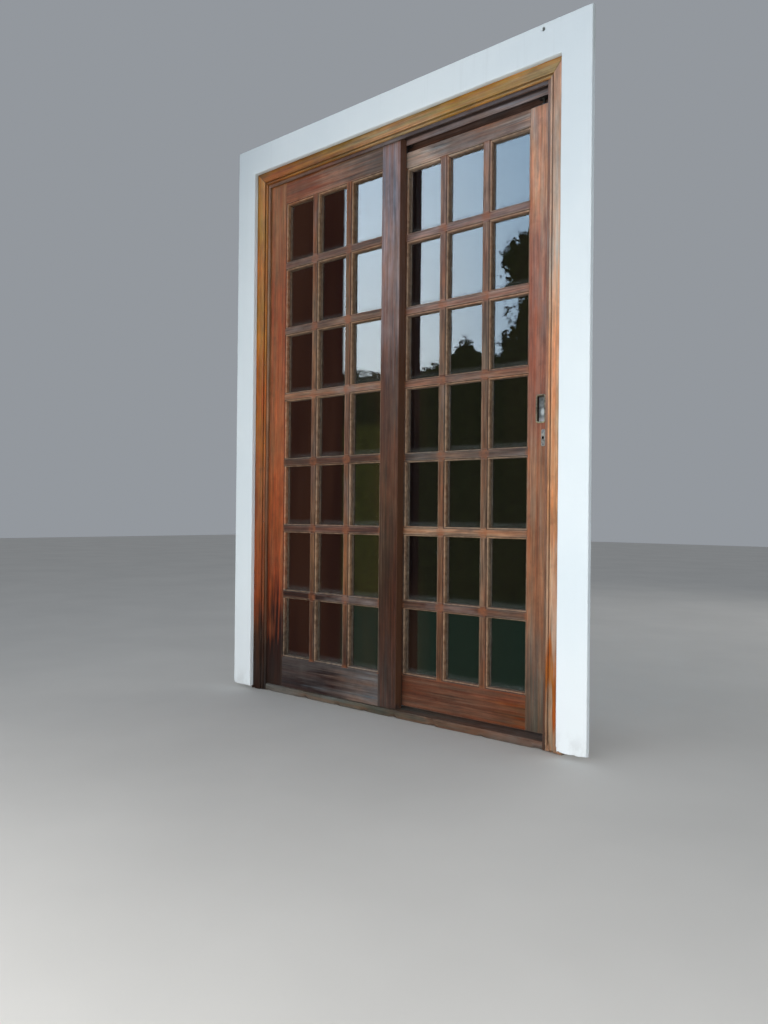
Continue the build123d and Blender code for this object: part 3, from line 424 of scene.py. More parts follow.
def plaster():
    """Painted plaster, bluish white, with a soft unevenness, grey streaks and a stained foot; painted light
    makes the foot paler, and painted shade darkens the left side and its top, the inner faces near the head
    and a small hole.
    """
    m = Nodes("band_plaster")
    rolls = m.noise(26, 5, 0.6)
    broad = m.noise(2.2, 4, 0.5, 4)
    colour = m.mix(m.span(broad, 0.3, 0.7), (0.765, 0.845, 0.880), (0.835, 0.905, 0.925))
    # Painted light: the plaster is paler towards the foot.
    low = m.span(m.z, 0.0, 0.6, 0.75, 0.0, smooth=True)
    colour = m.mix(low, colour, (0.90, 0.94, 0.95))
    # Painted shade: darker, bluer plaster on the left side, and most of all towards its top.
    upper = m.times(m.span(m.x, -0.5, -0.82), m.span(m.z, 1.6, 2.2, 0.0, 0.26))
    left = m.plus(upper, m.span(m.x, -0.2, -0.85, 0.0, 0.12))
    colour = m.mix(left, colour, (0.36, 0.43, 0.47))
    runs = m.span(m.noise((45, 45, 2.0), 4, 0.6, 8), 0.58, 0.76, 0.0, 0.12)
    high = m.span(m.z, 1.7, 2.3, 0.15, 1.0)
    colour = m.mix(m.times(runs, high), colour, (0.42, 0.46, 0.46))
    corner = m.span(m.noise((30, 30, 12), 4, 0.6, 12), 0.45, 0.62)
    near = m.span(m.z, 0.03, 0.10, 1.0, 0.0, smooth=True)
    colour = m.mix(m.times(corner, near, 0.20), colour, (0.36, 0.34, 0.32))
    # Painted shade inside the small hole in the band.
    hole = m.span(m.distance(hole_x, hole_z, 1.4), 0.0045, 0.0085, 0.95, 0.0, smooth=True)
    colour = m.mix(hole, colour, (0.05, 0.055, 0.055))
    # Painted shade: grey-green on the band's inner faces near its head.
    soffit_shade = m.times(m.span(m.y, -0.066, -0.050), m.span(m.z, 2.05, 2.13), 0.5)
    colour = m.mix(soffit_shade, colour, (0.38, 0.40, 0.34))
    bumps = m.bump(m.noise(420, 3, 0.6, 2), 0.0004, 0.4, m.bump(rolls, 0.0022, 0.35))
    return m.surface(Base_Color=colour, Roughness=0.62, Normal=bumps, Specular_IOR_Level=0.3)


def metal(name, bright, dull, rust, rough, tarnish, shift=0.0, metallic=0.85):
    """Dulled metal with tarnish in its corners and edges made brighter by rubbing."""
    m = Nodes(name)
    cloud = m.noise(60, 5, 0.6, shift)
    speck = m.noise(420, 4, 0.65, shift + 2)
    colour = m.mix(m.span(cloud, 0.35, 0.62), dull, bright)
    corner = m.span(m.occlusion(0.006), 0.3, 0.95, 1.0, 0.0)
    spots = m.times(m.span(speck, 0.52, 0.66), m.span(cloud, 0.42, 0.6, 1.0, 0.0))
    colour = m.mix(m.times(m.maths("MAXIMUM", corner, spots), tarnish), colour, rust)
    edge = m.span(m.occlusion(0.0015, inside=True), 0.5, 0.9, 0.6, 0.0)
    colour = m.mix(edge, colour, tuple(1.5 * part for part in bright))
    gloss = m.span(cloud, 0.3, 0.7, rough + 0.15, rough)
    return m.surface(Base_Color=colour, Roughness=gloss, Metallic=metallic,
                     Normal=m.bump(speck, 0.0002, 0.3))


def pull_brass(low):
    """Tarnished brass of both pulls: olive rim, yellower below, dark walls and a paler floor in the dish,
    with a painted highlight on that floor. low is the lower end of the pulls."""
    highlight_x, highlight_z = 0.597, low + 0.037
    m = Nodes("pull_brass")
    cloud = m.noise(75, 5, 0.6)
    speck = m.noise(420, 4, 0.65, 2)
    out = m.maths("ABSOLUTE", m.maths("SUBTRACT", m.y, leaf_middle))
    rim = m.mix(m.span(cloud, 0.38, 0.60), (0.070, 0.052, 0.030), (0.260, 0.200, 0.125))
    below = m.span(m.z, low + 0.004, low + 0.010, 0.75, 0.0)
    rim = m.mix(below, rim, m.mix(m.span(cloud, 0.38, 0.60), (0.16, 0.13, 0.06), (0.42, 0.36, 0.20)))
    floor = m.mix(m.span(cloud, 0.38, 0.62), (0.075, 0.070, 0.062), (0.190, 0.182, 0.165))
    # Painted highlight: a bright spot on the floor of the dish.
    dish_highlight = m.span(m.distance(highlight_x, highlight_z, 1.5), 0.005, 0.016, 0.85, 0.0, smooth=True)
    floor = m.mix(dish_highlight, floor, (0.56, 0.55, 0.51))
    floor = m.mix(m.span(m.z, low + 0.012, low + 0.024, 0.8, 0.0), floor, (0.40, 0.35, 0.32))
    colour = m.mix(m.span(out, 0.0084, 0.0098), floor, (0.026, 0.020, 0.014))
    colour = m.mix(m.span(out, 0.0166, 0.0176), colour, rim)
    corner = m.span(m.occlusion(0.004), 0.3, 0.95, 1.0, 0.0)
    colour = m.mix(m.times(corner, 0.7), colour, (0.030, 0.024, 0.014))
    return m.surface(Base_Color=colour, Roughness=m.span(cloud, 0.3, 0.7, 0.48, 0.32), Metallic=0.35,
                     Normal=m.bump(speck, 0.0002, 0.3))


def glass(name, left):
    """Old float glass, faintly uneven, with a thin film of dust along the lower edge and sides of each pane.
    left is where the first column of panes starts."""
    m = Nodes(name)
    wave = m.noise((5, 5, 4), 2, 0.4)
    across, up = pane_openings(m, left)
    side = m.maths("MINIMUM", m.maths("SUBTRACT", across, edge_width),
                   m.maths("SUBTRACT", opening_width - edge_width, across))
    near = m.maths("MAXIMUM", m.span(side, 0.0, 0.010, 0.6, 0.0, smooth=True),
                   m.span(up, edge_width, 0.030, 1.0, 0.0, smooth=True))
    patchy = m.span(m.noise(90, 4, 0.6, 6), 0.35, 0.70, 0.1, 1.0)
    film = m.plus(m.times(near, patchy, 0.10), 0.002)
    colour = m.mix(m.span(film, 0.0, 0.10), (0.93, 0.97, 0.95), (0.30, 0.27, 0.22))
    return m.surface(Base_Color=colour, IOR=1.55, Roughness=0.0, Normal=m.bump(wave, 0.004, 0.02),
                     Transmission_Weight=m.maths("SUBTRACT", 1.0, film))


def rubber():
    """Dull black rubber."""
    m = Nodes("rubber")
    grit = m.noise(300, 4, 0.6)
    return m.surface(Base_Color=m.mix(grit, (0.018, 0.018, 0.018), (0.045, 0.043, 0.04)), Roughness=0.75,
                     Normal=m.bump(grit, 0.0003, 0.4))


# Worn copies of the CAD pieces
def slices(low, high, pitch):
    """Places that divide a span into equal steps of about a pitch."""
    count = max(1, ceil((high - low) / pitch))
    return [low + (high - low) * k / count for k in range(1, count)]


def run(first, step, count):
    """Places from a first one on, a step apart."""
    return [first + step * k for k in range(count)]


def cut_across(bm, axis, places):
    """Cuts all faces with planes across an axis."""
    normal = [0.0, 0.0, 0.0]
    normal[axis] = 1.0
    for place in places:
        point = [0.0, 0.0, 0.0]
        point[axis] = place
        geometry = bm.verts[:] + bm.edges[:] + bm.faces[:]
        bmesh.ops.bisect_plane(bm, geom=geometry, plane_co=point, plane_no=normal, dist=1e-6)


def sharpen(mesh, angle=sharp_angle):
    """Smooth shading that keeps edges sharper than an angle."""
    bm = bmesh.new()
    bm.from_mesh(mesh)
    for face in bm.faces:
        face.smooth = True
    for edge in bm.edges:
        edge.smooth = edge.is_manifold and edge.calc_face_angle(pi) < radians(angle)
    bm.to_mesh(mesh)
    bm.free()


def wear(point, spots):
    """How far a point moves into the piece: a gentle unevenness, and more at the worn spots."""
    lift = 0.00022 * (1 + noise.noise(point * 24))
    lift += 0.00030 * (1 + noise.noise(Vector((point.x * 60, point.y * 60, point.z * 7))))
    for place, radius, depth in spots:
        away = (point - Vector(place)).length / radius
        if away < 1:
            rough = 0.65 + 0.7 * noise.noise(point * 160)
            lift += depth * (1 - away) ** 1.4 * max(0.15, rough)
    return lift


def stand_in(made, node, material):
    """Puts a new object in the place of a CAD piece."""
    bpy.context.scene.collection.objects.link(made)
    made.data.materials.append(material)
    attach(made, body_of[node])
    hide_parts(node)


def islands(bm):
    """The separate shells of a mesh, each as its list of corners."""
    left, found = set(bm.verts), []
    while left:
        stack = [left.pop()]
        shell = []
        while stack:
            vert = stack.pop()
            shell.append(vert)
            for edge in vert.link_edges:
                other = edge.other_vert(vert)
                if other in left:
                    left.remove(other)
                    stack.append(other)
        found.append(shell)
    return found


def shell_boxes(bm):
    """Lower and upper corner of the box round each shell, in order of place."""
    return sorted([[pick(vert.co[k] for vert in shell) for k in range(3)] for pick in (min, max)]
                  for shell in islands(bm))


def cut_slots(bm, outward, width=0.0011, half_length=0.0024, depth=0.0009, head_radius=0.0045):
    """Sinks a slot into the head of each screw, each turned further than the last. The heads look along
    outward."""
    axis = max(range(3), key=lambda k: abs(outward[k]))
    across, along = [k for k in range(3) if k != axis]

    def head_faces(middle):
        """Faces of the screw head round a point."""
        return [face for face in bm.faces if (face.calc_center_median() - middle).length < head_radius]

    for number, (low, high) in enumerate(shell_boxes(bm)):
        middle = Vector([(a + b) / 2 for a, b in zip(low, high)])
        middle[axis] = high[axis] if outward[axis] > 0 else low[axis]
        turn = 0.5 + 0.9 * number
        length = Vector((0, 0, 0))
        length[across], length[along] = cos(turn), sin(turn)
        side = Vector(outward).cross(length)
        near = head_faces(middle)
        for point, normal in ((side * width / 2, side), (-side * width / 2, side),
                              (length * half_length, length), (-length * half_length, length)):
            held = {vert for face in near for vert in face.verts}
            edges = {edge for face in near for edge in face.edges}
            bmesh.ops.bisect_plane(bm, geom=list(held) + list(edges) + near, plane_co=middle + point,
                                   plane_no=normal, dist=1e-7)
            near = head_faces(middle)
        strip = []
        for face in near:
            away = face.calc_center_median() - middle
            level = abs(away[axis]) < 0.0003 and abs(face.normal[axis]) > 0.9
            if level and abs(away.dot(side)) < width / 2 and abs(away.dot(length)) < half_length:
                strip.append(face)
        sunk = bmesh.ops.extrude_face_region(bm, geom=strip)
        bmesh.ops.delete(bm, geom=strip, context="FACES_ONLY")
        for item in sunk["geom"]:
            if isinstance(item, bmesh.types.BMVert):
                item.co -= Vector(outward) * depth


def ring_mesh(name, rings):
    """Closed mesh from rings of equal counts, with a cap at each end."""
    count = len(rings[0])
    corners = [point for ring in rings for point in ring]
    last = len(corners) - count
    faces = []
    for start in range(0, last, count):
        for k in range(count):
            after = (k + 1) % count
            faces.append((start + k, start + after, start + count + after, start + count + k))
    faces += [tuple(range(count)), tuple(range(last, len(corners)))]
    mesh = bpy.data.meshes.new(name)
    mesh.from_pydata(corners, [], faces)
    bm = bmesh.new()
    bm.from_mesh(mesh)
    bmesh.ops.recalc_face_normals(bm, faces=bm.faces[:])
    bm.to_mesh(mesh)
    bm.free()
    sharpen(mesh, 35)
    return bpy.data.objects.new(name, mesh)


def rounded_ring(centre, half_width, half_height, corner, y, wave=0.0):
    """Upright rounded rectangle with 9 points at each corner."""
    points = []
    for x_side, z_side, start in ((1, 1, 0), (-1, 1, 1), (-1, -1, 2), (1, -1, 3)):
        for step in range(9):
            angle = (start + step / 8) * pi / 2
            x = centre[0] + x_side * (half_width - corner) + corner * cos(angle)
            z = centre[1] + z_side * (half_height - corner) + corner * sin(angle)
            points.append(Vector((x, y + wave * noise.noise(Vector((x * 70, y * 70, z * 70))), z)))
    return points


def pull(node, material):
    """Flush pull: a rim with a rounded, worn top and a dish with a rounded floor, closed behind. Its profile
    holds the insets from the outer edge and the heights over the plate's face, in millimetres."""
    proud, outer_corner, least_corner = 0.0016, 0.009, 0.0022
    low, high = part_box(node)
    outward = -1 if node.startswith("outside") else 1
    face = low.y + proud if outward < 0 else high.y - proud
    centre = ((low.x + high.x) / 2, (low.z + high.z) / 2)
    half_width, half_height = (high.x - low.x) / 2, (high.z - low.z) / 2
    profile = [(6.5, -12.0), (5.0, -11.6), (4.5, -10.8), (4.5, 0.0), (0.0, 0.0), (0.0, 0.5), (0.25, 1.0),
               (0.8, 1.4), (1.6, 1.58), (3.0, 1.55), (4.0, 1.25), (4.8, 0.6), (5.3, -0.4), (5.7, -2.0),
               (5.95, -5.0), (6.1, -8.2), (6.7, -9.6), (7.9, -10.4), (9.6, -10.6)]
    rings = []
    for inset, height in profile:
        inset, height = inset / 1000, height / 1000
        wave = 0.0002 if height > 0.0009 or inset > 0.0055 else 0.0
        corner = max(outer_corner - inset, least_corner)
        rings.append(rounded_ring(centre, half_width - inset, half_height - inset, corner,
                                  face + outward * height, wave))
    stand_in(ring_mesh(node + "_worn", rings), node, material)


def threaded(node, material, pitch=0.00125, groove=0.0006, around=24, rings_a_turn=6):
    """Threaded rods in the place of plain ones that stand along Z."""
    bm = bmesh.new()
    bm.from_mesh(nodes[node].data)
    bmesh.ops.remove_doubles(bm, verts=bm.verts[:], dist=1e-5)
    boxes = shell_boxes(bm)
    bm.free()
    whole = bmesh.new()
    for low, high in boxes:
        middle = Vector(((low[0] + high[0]) / 2, (low[1] + high[1]) / 2, 0))
        radius, height = (high[0] - low[0]) / 2, high[2] - low[2]
        steps = round(height / pitch * rings_a_turn)
        rings = []
        for step in range(steps + 1):
            z = low[2] + height * step / steps
            end = min(z - low[2], high[2] - z)
            ring = []
            for k in range(around):
                phase = (z / pitch + k / around) % 1.0
                depth = max(groove * (1 - abs(2 * phase - 1)), groove * 1.3 - end)
                reach = radius - max(0.0, depth)
                turn = 2 * pi * k / around
                ring.append(middle + Vector((reach * cos(turn), reach * sin(turn), z)))
            rings.append(ring)
        rod = ring_mesh("rod", rings)
        whole.from_mesh(rod.data)
        bpy.data.objects.remove(rod)
    mesh = bpy.data.meshes.new(node + "_worn")
    whole.to_mesh(mesh)
    whole.free()
    sharpen(mesh, 50)
    stand_in(bpy.data.objects.new(node + "_worn", mesh), node, material)


def dressed(node, material, bevel=0.0007, cuts=((2, 0.03),), spots=(), uneven=1.0, dense=(), segments=1,
            slots=None):
    """Copy of a CAD piece with broken edges and a worn surface, in the place of the piece. cuts are the
    (axis, pitch) of even cuts that let the surface bend, dense the (axis, places) of closer ones, spots the
    (place, radius, depth) of worn places, and slots the direction that a piece's screw heads look in."""
    low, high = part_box(node)
    bm = bmesh.new()
    bm.from_mesh(nodes[node].data)
    bmesh.ops.remove_doubles(bm, verts=bm.verts[:], dist=1e-5)
    bmesh.ops.dissolve_limit(bm, angle_limit=radians(0.4), verts=bm.verts[:], edges=bm.edges[:])
    if bevel:
        sharp = [edge for edge in bm.edges
                 if edge.is_manifold and edge.calc_face_angle(0) > radians(sharp_angle)]
        bmesh.ops.bevel(bm, geom=sharp, offset=bevel, segments=segments, affect="EDGES", profile=0.5,
                        clamp_overlap=True)
    if slots:
        bm.normal_update()
        cut_slots(bm, slots)
    for axis, pitch in cuts:
        cut_across(bm, axis, slices(low[axis], high[axis], pitch))
    for axis, places in dense:
        cut_across(bm, axis, places)
    bmesh.ops.remove_doubles(bm, verts=bm.verts[:], dist=1e-6)
    bm.normal_update()
    if uneven:
        moves = {vert: -vert.normal * wear(vert.co, spots) * uneven for vert in bm.verts}
        for vert, move in moves.items():
            there = vert.co + move
            if any(there[k] < low[k] - 1e-5 or there[k] > high[k] + 1e-5 for k in range(3)):
                near = [moves[edge.other_vert(vert)] for edge in vert.link_edges]
                moves[vert] = sum(near, Vector()) / len(near)
        for vert, move in moves.items():
            vert.co += move
    mesh = bpy.data.meshes.new(node + "_worn")
    bm.to_mesh(mesh)
    bm.free()
    sharpen(mesh)
    stand_in(bpy.data.objects.new(node + "_worn", mesh), node, material)


def paint(node, material):
    """New material on a CAD piece that keeps its shape."""
    for slot in nodes[node].material_slots:
        slot.material = material


set_camera()
set_stage()

# Woods, with their tones from the foot to the top or from left to right
looks = {
    "moulding_left": dict(along=2, tones=[
        (0.00, (0.015, 0.007, 0.005), (0.030, 0.013, 0.008)),
        (0.22, (0.032, 0.012, 0.006), (0.075, 0.027, 0.010)),
        (0.42, (0.135, 0.031, 0.008), (0.270, 0.070, 0.017)),
        (0.80, (0.230, 0.071, 0.021), (0.370, 0.125, 0.038)),
        (1.10, (0.240, 0.068, 0.009), (0.380, 0.118, 0.016)),
        (1.50, (0.300, 0.100, 0.006), (0.470, 0.168, 0.014)),
        (2.10, (0.262, 0.112, 0.009), (0.400, 0.186, 0.024))], rough=0.42, shift=1),
    "moulding_right": dict(along=2, tones=[
        (0.00, (0.200, 0.140, 0.090), (0.360, 0.260, 0.170)),
        (0.10, (0.230, 0.150, 0.085), (0.400, 0.270, 0.170)),
        (0.16, (0.262, 0.062, 0.004), (0.430, 0.135, 0.018)),
        (0.27, (0.262, 0.062, 0.004), (0.430, 0.135, 0.018)),
        (0.34, (0.280, 0.150, 0.080), (0.470, 0.290, 0.180)),
        (0.45, (0.310, 0.185, 0.110), (0.540, 0.340, 0.220)),
        (0.75, (0.370, 0.160, 0.060), (0.580, 0.300, 0.135)),
        (1.10, (0.400, 0.215, 0.105), (0.620, 0.370, 0.210)),
        (1.50, (0.430, 0.285, 0.195), (0.640, 0.450, 0.325)),
        (2.10, (0.360, 0.235, 0.160), (0.580, 0.400, 0.290))], grey=0.22, grey_tone=(0.44, 0.36, 0.30),
        rough=0.5, shift=2),
    "moulding_head": dict(along=0, tones=[
        (-0.70, (0.150, 0.054, 0.008), (0.270, 0.102, 0.015)),
        (-0.30, (0.205, 0.088, 0.009), (0.340, 0.164, 0.022)),
        (0.00, (0.290, 0.190, 0.074), (0.460, 0.325, 0.155)),
        (0.40, (0.228, 0.128, 0.012), (0.352, 0.215, 0.033)),
        (0.70, (0.290, 0.175, 0.055), (0.440, 0.285, 0.112))], rough=0.45, shift=3),
    "jamb_left": dict(along=2, tones=[
        (0.00, (0.018, 0.012, 0.010), (0.035, 0.020, 0.014)),
        (0.35, (0.070, 0.030, 0.016), (0.150, 0.065, 0.030)),
        (1.20, (0.200, 0.110, 0.060), (0.360, 0.220, 0.120)),
        (2.10, (0.180, 0.110, 0.070), (0.330, 0.220, 0.140))], foot=0.7, shift=4),
    "jamb_right": dict(along=2, tones=[
        (0.00, (0.060, 0.036, 0.024), (0.120, 0.076, 0.050)),
        (0.60, (0.150, 0.080, 0.048), (0.290, 0.170, 0.108)),
        (2.10, (0.160, 0.096, 0.066), (0.300, 0.195, 0.140))], grey=0.08, foot=0.4, shift=5),
    "head": dict(along=0, tones=[
        (-0.70, (0.130, 0.060, 0.028), (0.250, 0.130, 0.065)),
        (-0.20, (0.100, 0.050, 0.030), (0.200, 0.110, 0.072)),
        (0.05, (0.055, 0.036, 0.030), (0.120, 0.086, 0.074)),
        (0.70, (0.060, 0.040, 0.034), (0.135, 0.098, 0.086))], grey=0.1, dirt_and_shade=0.8, hidden=0.016, shift=6),
    "head_divider": dict(along=0, tones=[
        (0.00, (0.170, 0.128, 0.120), (0.340, 0.270, 0.262)),
        (0.70, (0.160, 0.112, 0.098), (0.320, 0.240, 0.220))], grey=0.2, grey_tone=(0.34, 0.29, 0.285),
        # The shades entry below paints shade on the divider's top, under the lip of the head.
        dirt_and_shade=0.3, hidden=0.014, shades=((2, 2.088, 2.094, 0.9, (0.030, 0.017, 0.013)),), shift=24),
    "sill": dict(along=0, tones=[
        (-0.70, (0.030, 0.024, 0.018), (0.070, 0.055, 0.040)),
        (-0.30, (0.070, 0.060, 0.045), (0.140, 0.120, 0.092)),
        (0.00, (0.040, 0.040, 0.028), (0.090, 0.085, 0.062)),
        (0.25, (0.085, 0.048, 0.028), (0.160, 0.100, 0.060)),
        (0.70, (0.090, 0.055, 0.038), (0.180, 0.115, 0.085))], grey=0.45,
        grey_tone=(0.17, 0.16, 0.14), dirt_and_shade=0.7, rough=0.72, shift=7),
    "fixed_outer_stile": dict(along=2, tones=[
        (0.00, (0.022, 0.009, 0.006), (0.042, 0.017, 0.010)),
        (0.25, (0.010, 0.003, 0.002), (0.024, 0.007, 0.004)),
        (0.42, (0.180, 0.034, 0.009), (0.320, 0.074, 0.021)),
        (0.75, (0.220, 0.054, 0.014), (0.370, 0.106, 0.032)),
        (1.10, (0.230, 0.075, 0.024), (0.390, 0.145, 0.055)),
        (1.50, (0.180, 0.041, 0.009), (0.297, 0.084, 0.023)),
        (2.05, (0.190, 0.075, 0.021), (0.320, 0.145, 0.054))], foot=0.5, worn=0.35, rough=0.45, shift=8),
    "fixed_meeting_stile": dict(along=2, tones=[
        (0.00, (0.036, 0.021, 0.015), (0.075, 0.047, 0.037)),
        (0.25, (0.034, 0.014, 0.007), (0.070, 0.032, 0.017)),
        (0.42, (0.025, 0.009, 0.002), (0.052, 0.020, 0.006)),
        (0.80, (0.052, 0.023, 0.009), (0.110, 0.055, 0.027)),
        (1.20, (0.051, 0.025, 0.015), (0.107, 0.057, 0.036)),
        # The grey-purple tones from here up are a painted sheen of the sky on the varnish.
        (1.55, (0.150, 0.118, 0.118), (0.300, 0.256, 0.262)),
        (2.05, (0.165, 0.112, 0.106), (0.320, 0.232, 0.218))], worn=0.3, rough=0.6,
        shades=((0, 0.0422, 0.0434, 0.8, (0.110, 0.048, 0.024)),), shift=9),
    "fixed_top_rail": dict(along=0, tones=[
        (-0.66, (0.150, 0.042, 0.012), (0.250, 0.080, 0.030)),
        (-0.45, (0.150, 0.038, 0.008), (0.258, 0.082, 0.022)),
        (-0.30, (0.187, 0.086, 0.044), (0.333, 0.180, 0.103)),
        (-0.05, (0.072, 0.041, 0.024), (0.146, 0.090, 0.058))], grey=0.06, shift=10),
    "fixed_bottom_rail": dict(along=0, tones=[
        (-0.66, (0.032, 0.019, 0.016), (0.075, 0.050, 0.044)),
        (-0.30, (0.012, 0.005, 0.004), (0.034, 0.018, 0.013)),
        (-0.05, (0.082, 0.074, 0.070), (0.170, 0.162, 0.156))], grey=0.6,
        grey_tone=(0.085, 0.070, 0.062), rough=0.7, shift=11),
    "fixed_bars": dict(along=2, tones=[
        (0.15, (0.040, 0.017, 0.009), (0.090, 0.043, 0.025)),
        (0.30, (0.070, 0.030, 0.013), (0.150, 0.072, 0.036)),
        (0.52, (0.120, 0.050, 0.018), (0.245, 0.118, 0.050)),
        (0.90, (0.085, 0.040, 0.022), (0.180, 0.095, 0.060)),
        (1.40, (0.115, 0.056, 0.026), (0.225, 0.122, 0.062)),
        (2.00, (0.115, 0.042, 0.008), (0.220, 0.092, 0.024))], grey=0.08, worn=0.75,
        dirt_and_shade=0.6, streaks=0.42, shift=12),
    "fixed_cross_bars": dict(along=0, tones=[
        (0.41, (0.026, 0.010, 0.005), (0.056, 0.024, 0.013)),
        (0.68, (0.072, 0.030, 0.019), (0.150, 0.076, 0.050)),
        (0.95, (0.038, 0.017, 0.008), (0.080, 0.042, 0.021)),
        (1.22, (0.166, 0.088, 0.050), (0.322, 0.190, 0.113)),
        (1.48, (0.104, 0.048, 0.027), (0.208, 0.110, 0.064)),
        (1.75, (0.098, 0.051, 0.032), (0.200, 0.115, 0.074))], by=2, grey=0.08, worn=0.8,
        dirt_and_shade=0.6, streaks=0.42, shift=13),
    "sliding_outer_stile": dict(along=2, tones=[
        (0.00, (0.085, 0.052, 0.032), (0.180, 0.115, 0.065)),
        (0.15, (0.140, 0.076, 0.048), (0.250, 0.145, 0.085)),
        (0.42, (0.200, 0.095, 0.048), (0.350, 0.180, 0.096)),
        (0.70, (0.195, 0.090, 0.044), (0.340, 0.172, 0.088)),
        (0.92, (0.215, 0.108, 0.060), (0.370, 0.205, 0.122)),
        (1.20, (0.185, 0.070, 0.042), (0.320, 0.135, 0.083)),
        (1.60, (0.250, 0.100, 0.060), (0.420, 0.195, 0.125)),
        (1.90, (0.410, 0.240, 0.145), (0.640, 0.400, 0.250)),
        (2.05, (0.350, 0.225, 0.165), (0.560, 0.380, 0.285))], grey=0.10, foot=0.25, worn=0.4,
        bores=((0.605, 0.979, 0.0045),), shift=14),
    "sliding_meeting_stile": dict(along=2, tones=[
        (0.00, (0.040, 0.024, 0.018), (0.090, 0.056, 0.040)),
        (1.00, (0.090, 0.046, 0.026), (0.190, 0.110, 0.070)),
        (2.05, (0.120, 0.070, 0.045), (0.230, 0.150, 0.105))], shift=15),
    "sliding_top_rail": dict(along=0, tones=[
        (-0.05, (0.280, 0.200, 0.140), (0.490, 0.370, 0.270)),
        (0.15, (0.400, 0.290, 0.215), (0.620, 0.480, 0.380)),
        (0.30, (0.105, 0.070, 0.052), (0.200, 0.140, 0.108)),
        (0.45, (0.150, 0.092, 0.064), (0.275, 0.182, 0.132)),
        (0.58, (0.350, 0.245, 0.185), (0.560, 0.415, 0.330)),
        (0.66, (0.250, 0.185, 0.150), (0.420, 0.310, 0.260))], grey=0.15,
        grey_tone=(0.27, 0.21, 0.18), worn=0.3, shift=16),
    "sliding_bottom_rail": dict(along=0, tones=[
        (-0.05, (0.080, 0.032, 0.017), (0.165, 0.074, 0.042)),
        (0.40, (0.086, 0.032, 0.014), (0.172, 0.072, 0.037)),
        (0.52, (0.100, 0.034, 0.010), (0.195, 0.072, 0.024)),
        (0.60, (0.110, 0.020, 0.000), (0.200, 0.042, 0.000))], rough=0.6, shift=17),
    "sliding_bars": dict(along=2, tones=[
        (0.15, (0.095, 0.038, 0.017), (0.195, 0.095, 0.050)),
        (0.55, (0.100, 0.056, 0.028), (0.205, 0.128, 0.078)),
        (0.90, (0.086, 0.040, 0.017), (0.178, 0.095, 0.048)),
        (1.40, (0.096, 0.050, 0.026), (0.192, 0.117, 0.072)),
        (2.00, (0.190, 0.100, 0.070), (0.340, 0.215, 0.160))], grey=0.12, worn=0.75,
        dirt_and_shade=0.6, streaks=0.42, shift=18),
    "sliding_cross_bars": dict(along=0, tones=[
        (0.41, (0.060, 0.030, 0.019), (0.125, 0.068, 0.046)),
        (0.68, (0.190, 0.112, 0.066), (0.360, 0.240, 0.152)),
        (0.95, (0.064, 0.050, 0.042), (0.133, 0.112, 0.096)),
        (1.22, (0.145, 0.056, 0.028), (0.280, 0.126, 0.066)),
        (1.48, (0.150, 0.095, 0.074), (0.290, 0.205, 0.165)),
        (1.75, (0.155, 0.088, 0.066), (0.310, 0.190, 0.146))], by=2, grey=0.10, worn=0.8,
        dirt_and_shade=0.6, streaks=0.42, shift=19),
}
woods = {name: wood(name, left=first_column.get(name.split("_")[0]), **look) for name, look in looks.items()}
brass = metal("aged_brass", (0.34, 0.30, 0.25), (0.14, 0.12, 0.10), (0.045, 0.034, 0.020), 0.40, 0.85,
              metallic=0.35)
pulls = pull_brass(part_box("outside_pull")[0].z)
steel = metal("zinc_steel", (0.50, 0.50, 0.51), (0.30, 0.30, 0.31), (0.16, 0.08, 0.04), 0.35, 0.35, 5)
dusty = metal("dusty_steel", (0.20, 0.19, 0.18), (0.07, 0.065, 0.06), (0.05, 0.030, 0.02), 0.55, 0.6, 7)
rusty = metal("rusty_nail", (0.12, 0.07, 0.045), (0.05, 0.03, 0.022), (0.10, 0.04, 0.015), 0.7, 0.8, 9)
panes = {leaf: glass(f"{leaf}_panes", left) for leaf, left in first_column.items()}

# Frame
surround_low, surround_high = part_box("surround")
dressed("surround", plaster(), bevel=0.0012, cuts=((0, 0.04), (2, 0.04)), uneven=1.6,
        spots=[((x, surround_low.y, z), radius, depth) for x, z, radius, depth in (
            (hole_x, hole_z, 0.009, 0.008), (surround_high.x, surround_low.z, 0.030, 0.006),
            (0.706, surround_low.z, 0.022, 0.005), (surround_low.x, surround_low.z, 0.018, 0.004),
            (0.760, surround_low.z, 0.014, 0.003))],
        dense=((0, run(hole_x - 0.009, 0.0018, 11) + run(0.69, 0.004, 28) + run(-0.80, 0.005, 5)),
               (2, run(hole_z - 0.011, 0.0022, 11) + run(0.015, 0.004, 8))))
dressed("moulding_left", woods["moulding_left"],
        spots=(((-0.70, -0.048, 0.0), 0.030, 0.006), ((-0.655, -0.045, 0.0), 0.022, 0.004)),
        dense=((2, run(0.003, 0.004, 9)), (0, [-0.70, -0.69, -0.68])))
dressed("moulding_right", woods["moulding_right"],
        spots=(((0.67, -0.048, 0.0), 0.045, 0.008), ((0.655, -0.048, 0.05), 0.03, 0.003)),
        dense=((2, run(0.003, 0.004, 15)), (0, [0.66, 0.668, 0.676, 0.684])))
dressed("moulding_head", woods["moulding_head"], cuts=((0, 0.03),))
dressed("jamb_left", woods["jamb_left"])
dressed("jamb_right", woods["jamb_right"])
dressed("head", woods["head"], cuts=((0, 0.03),))
dressed("head_divider", woods["head_divider"], cuts=((0, 0.03),))
dressed("sill", woods["sill"], cuts=((0, 0.012), (1, 0.02)), uneven=1.8,
        spots=[((-0.62 + 0.173 * k + 0.04 * sin(7.3 * k), -0.036, 0.002 + 0.004 * (k % 3)),
                0.022 + 0.012 * (k % 2), 0.004 + 0.002 * (k % 3)) for k in range(8)])

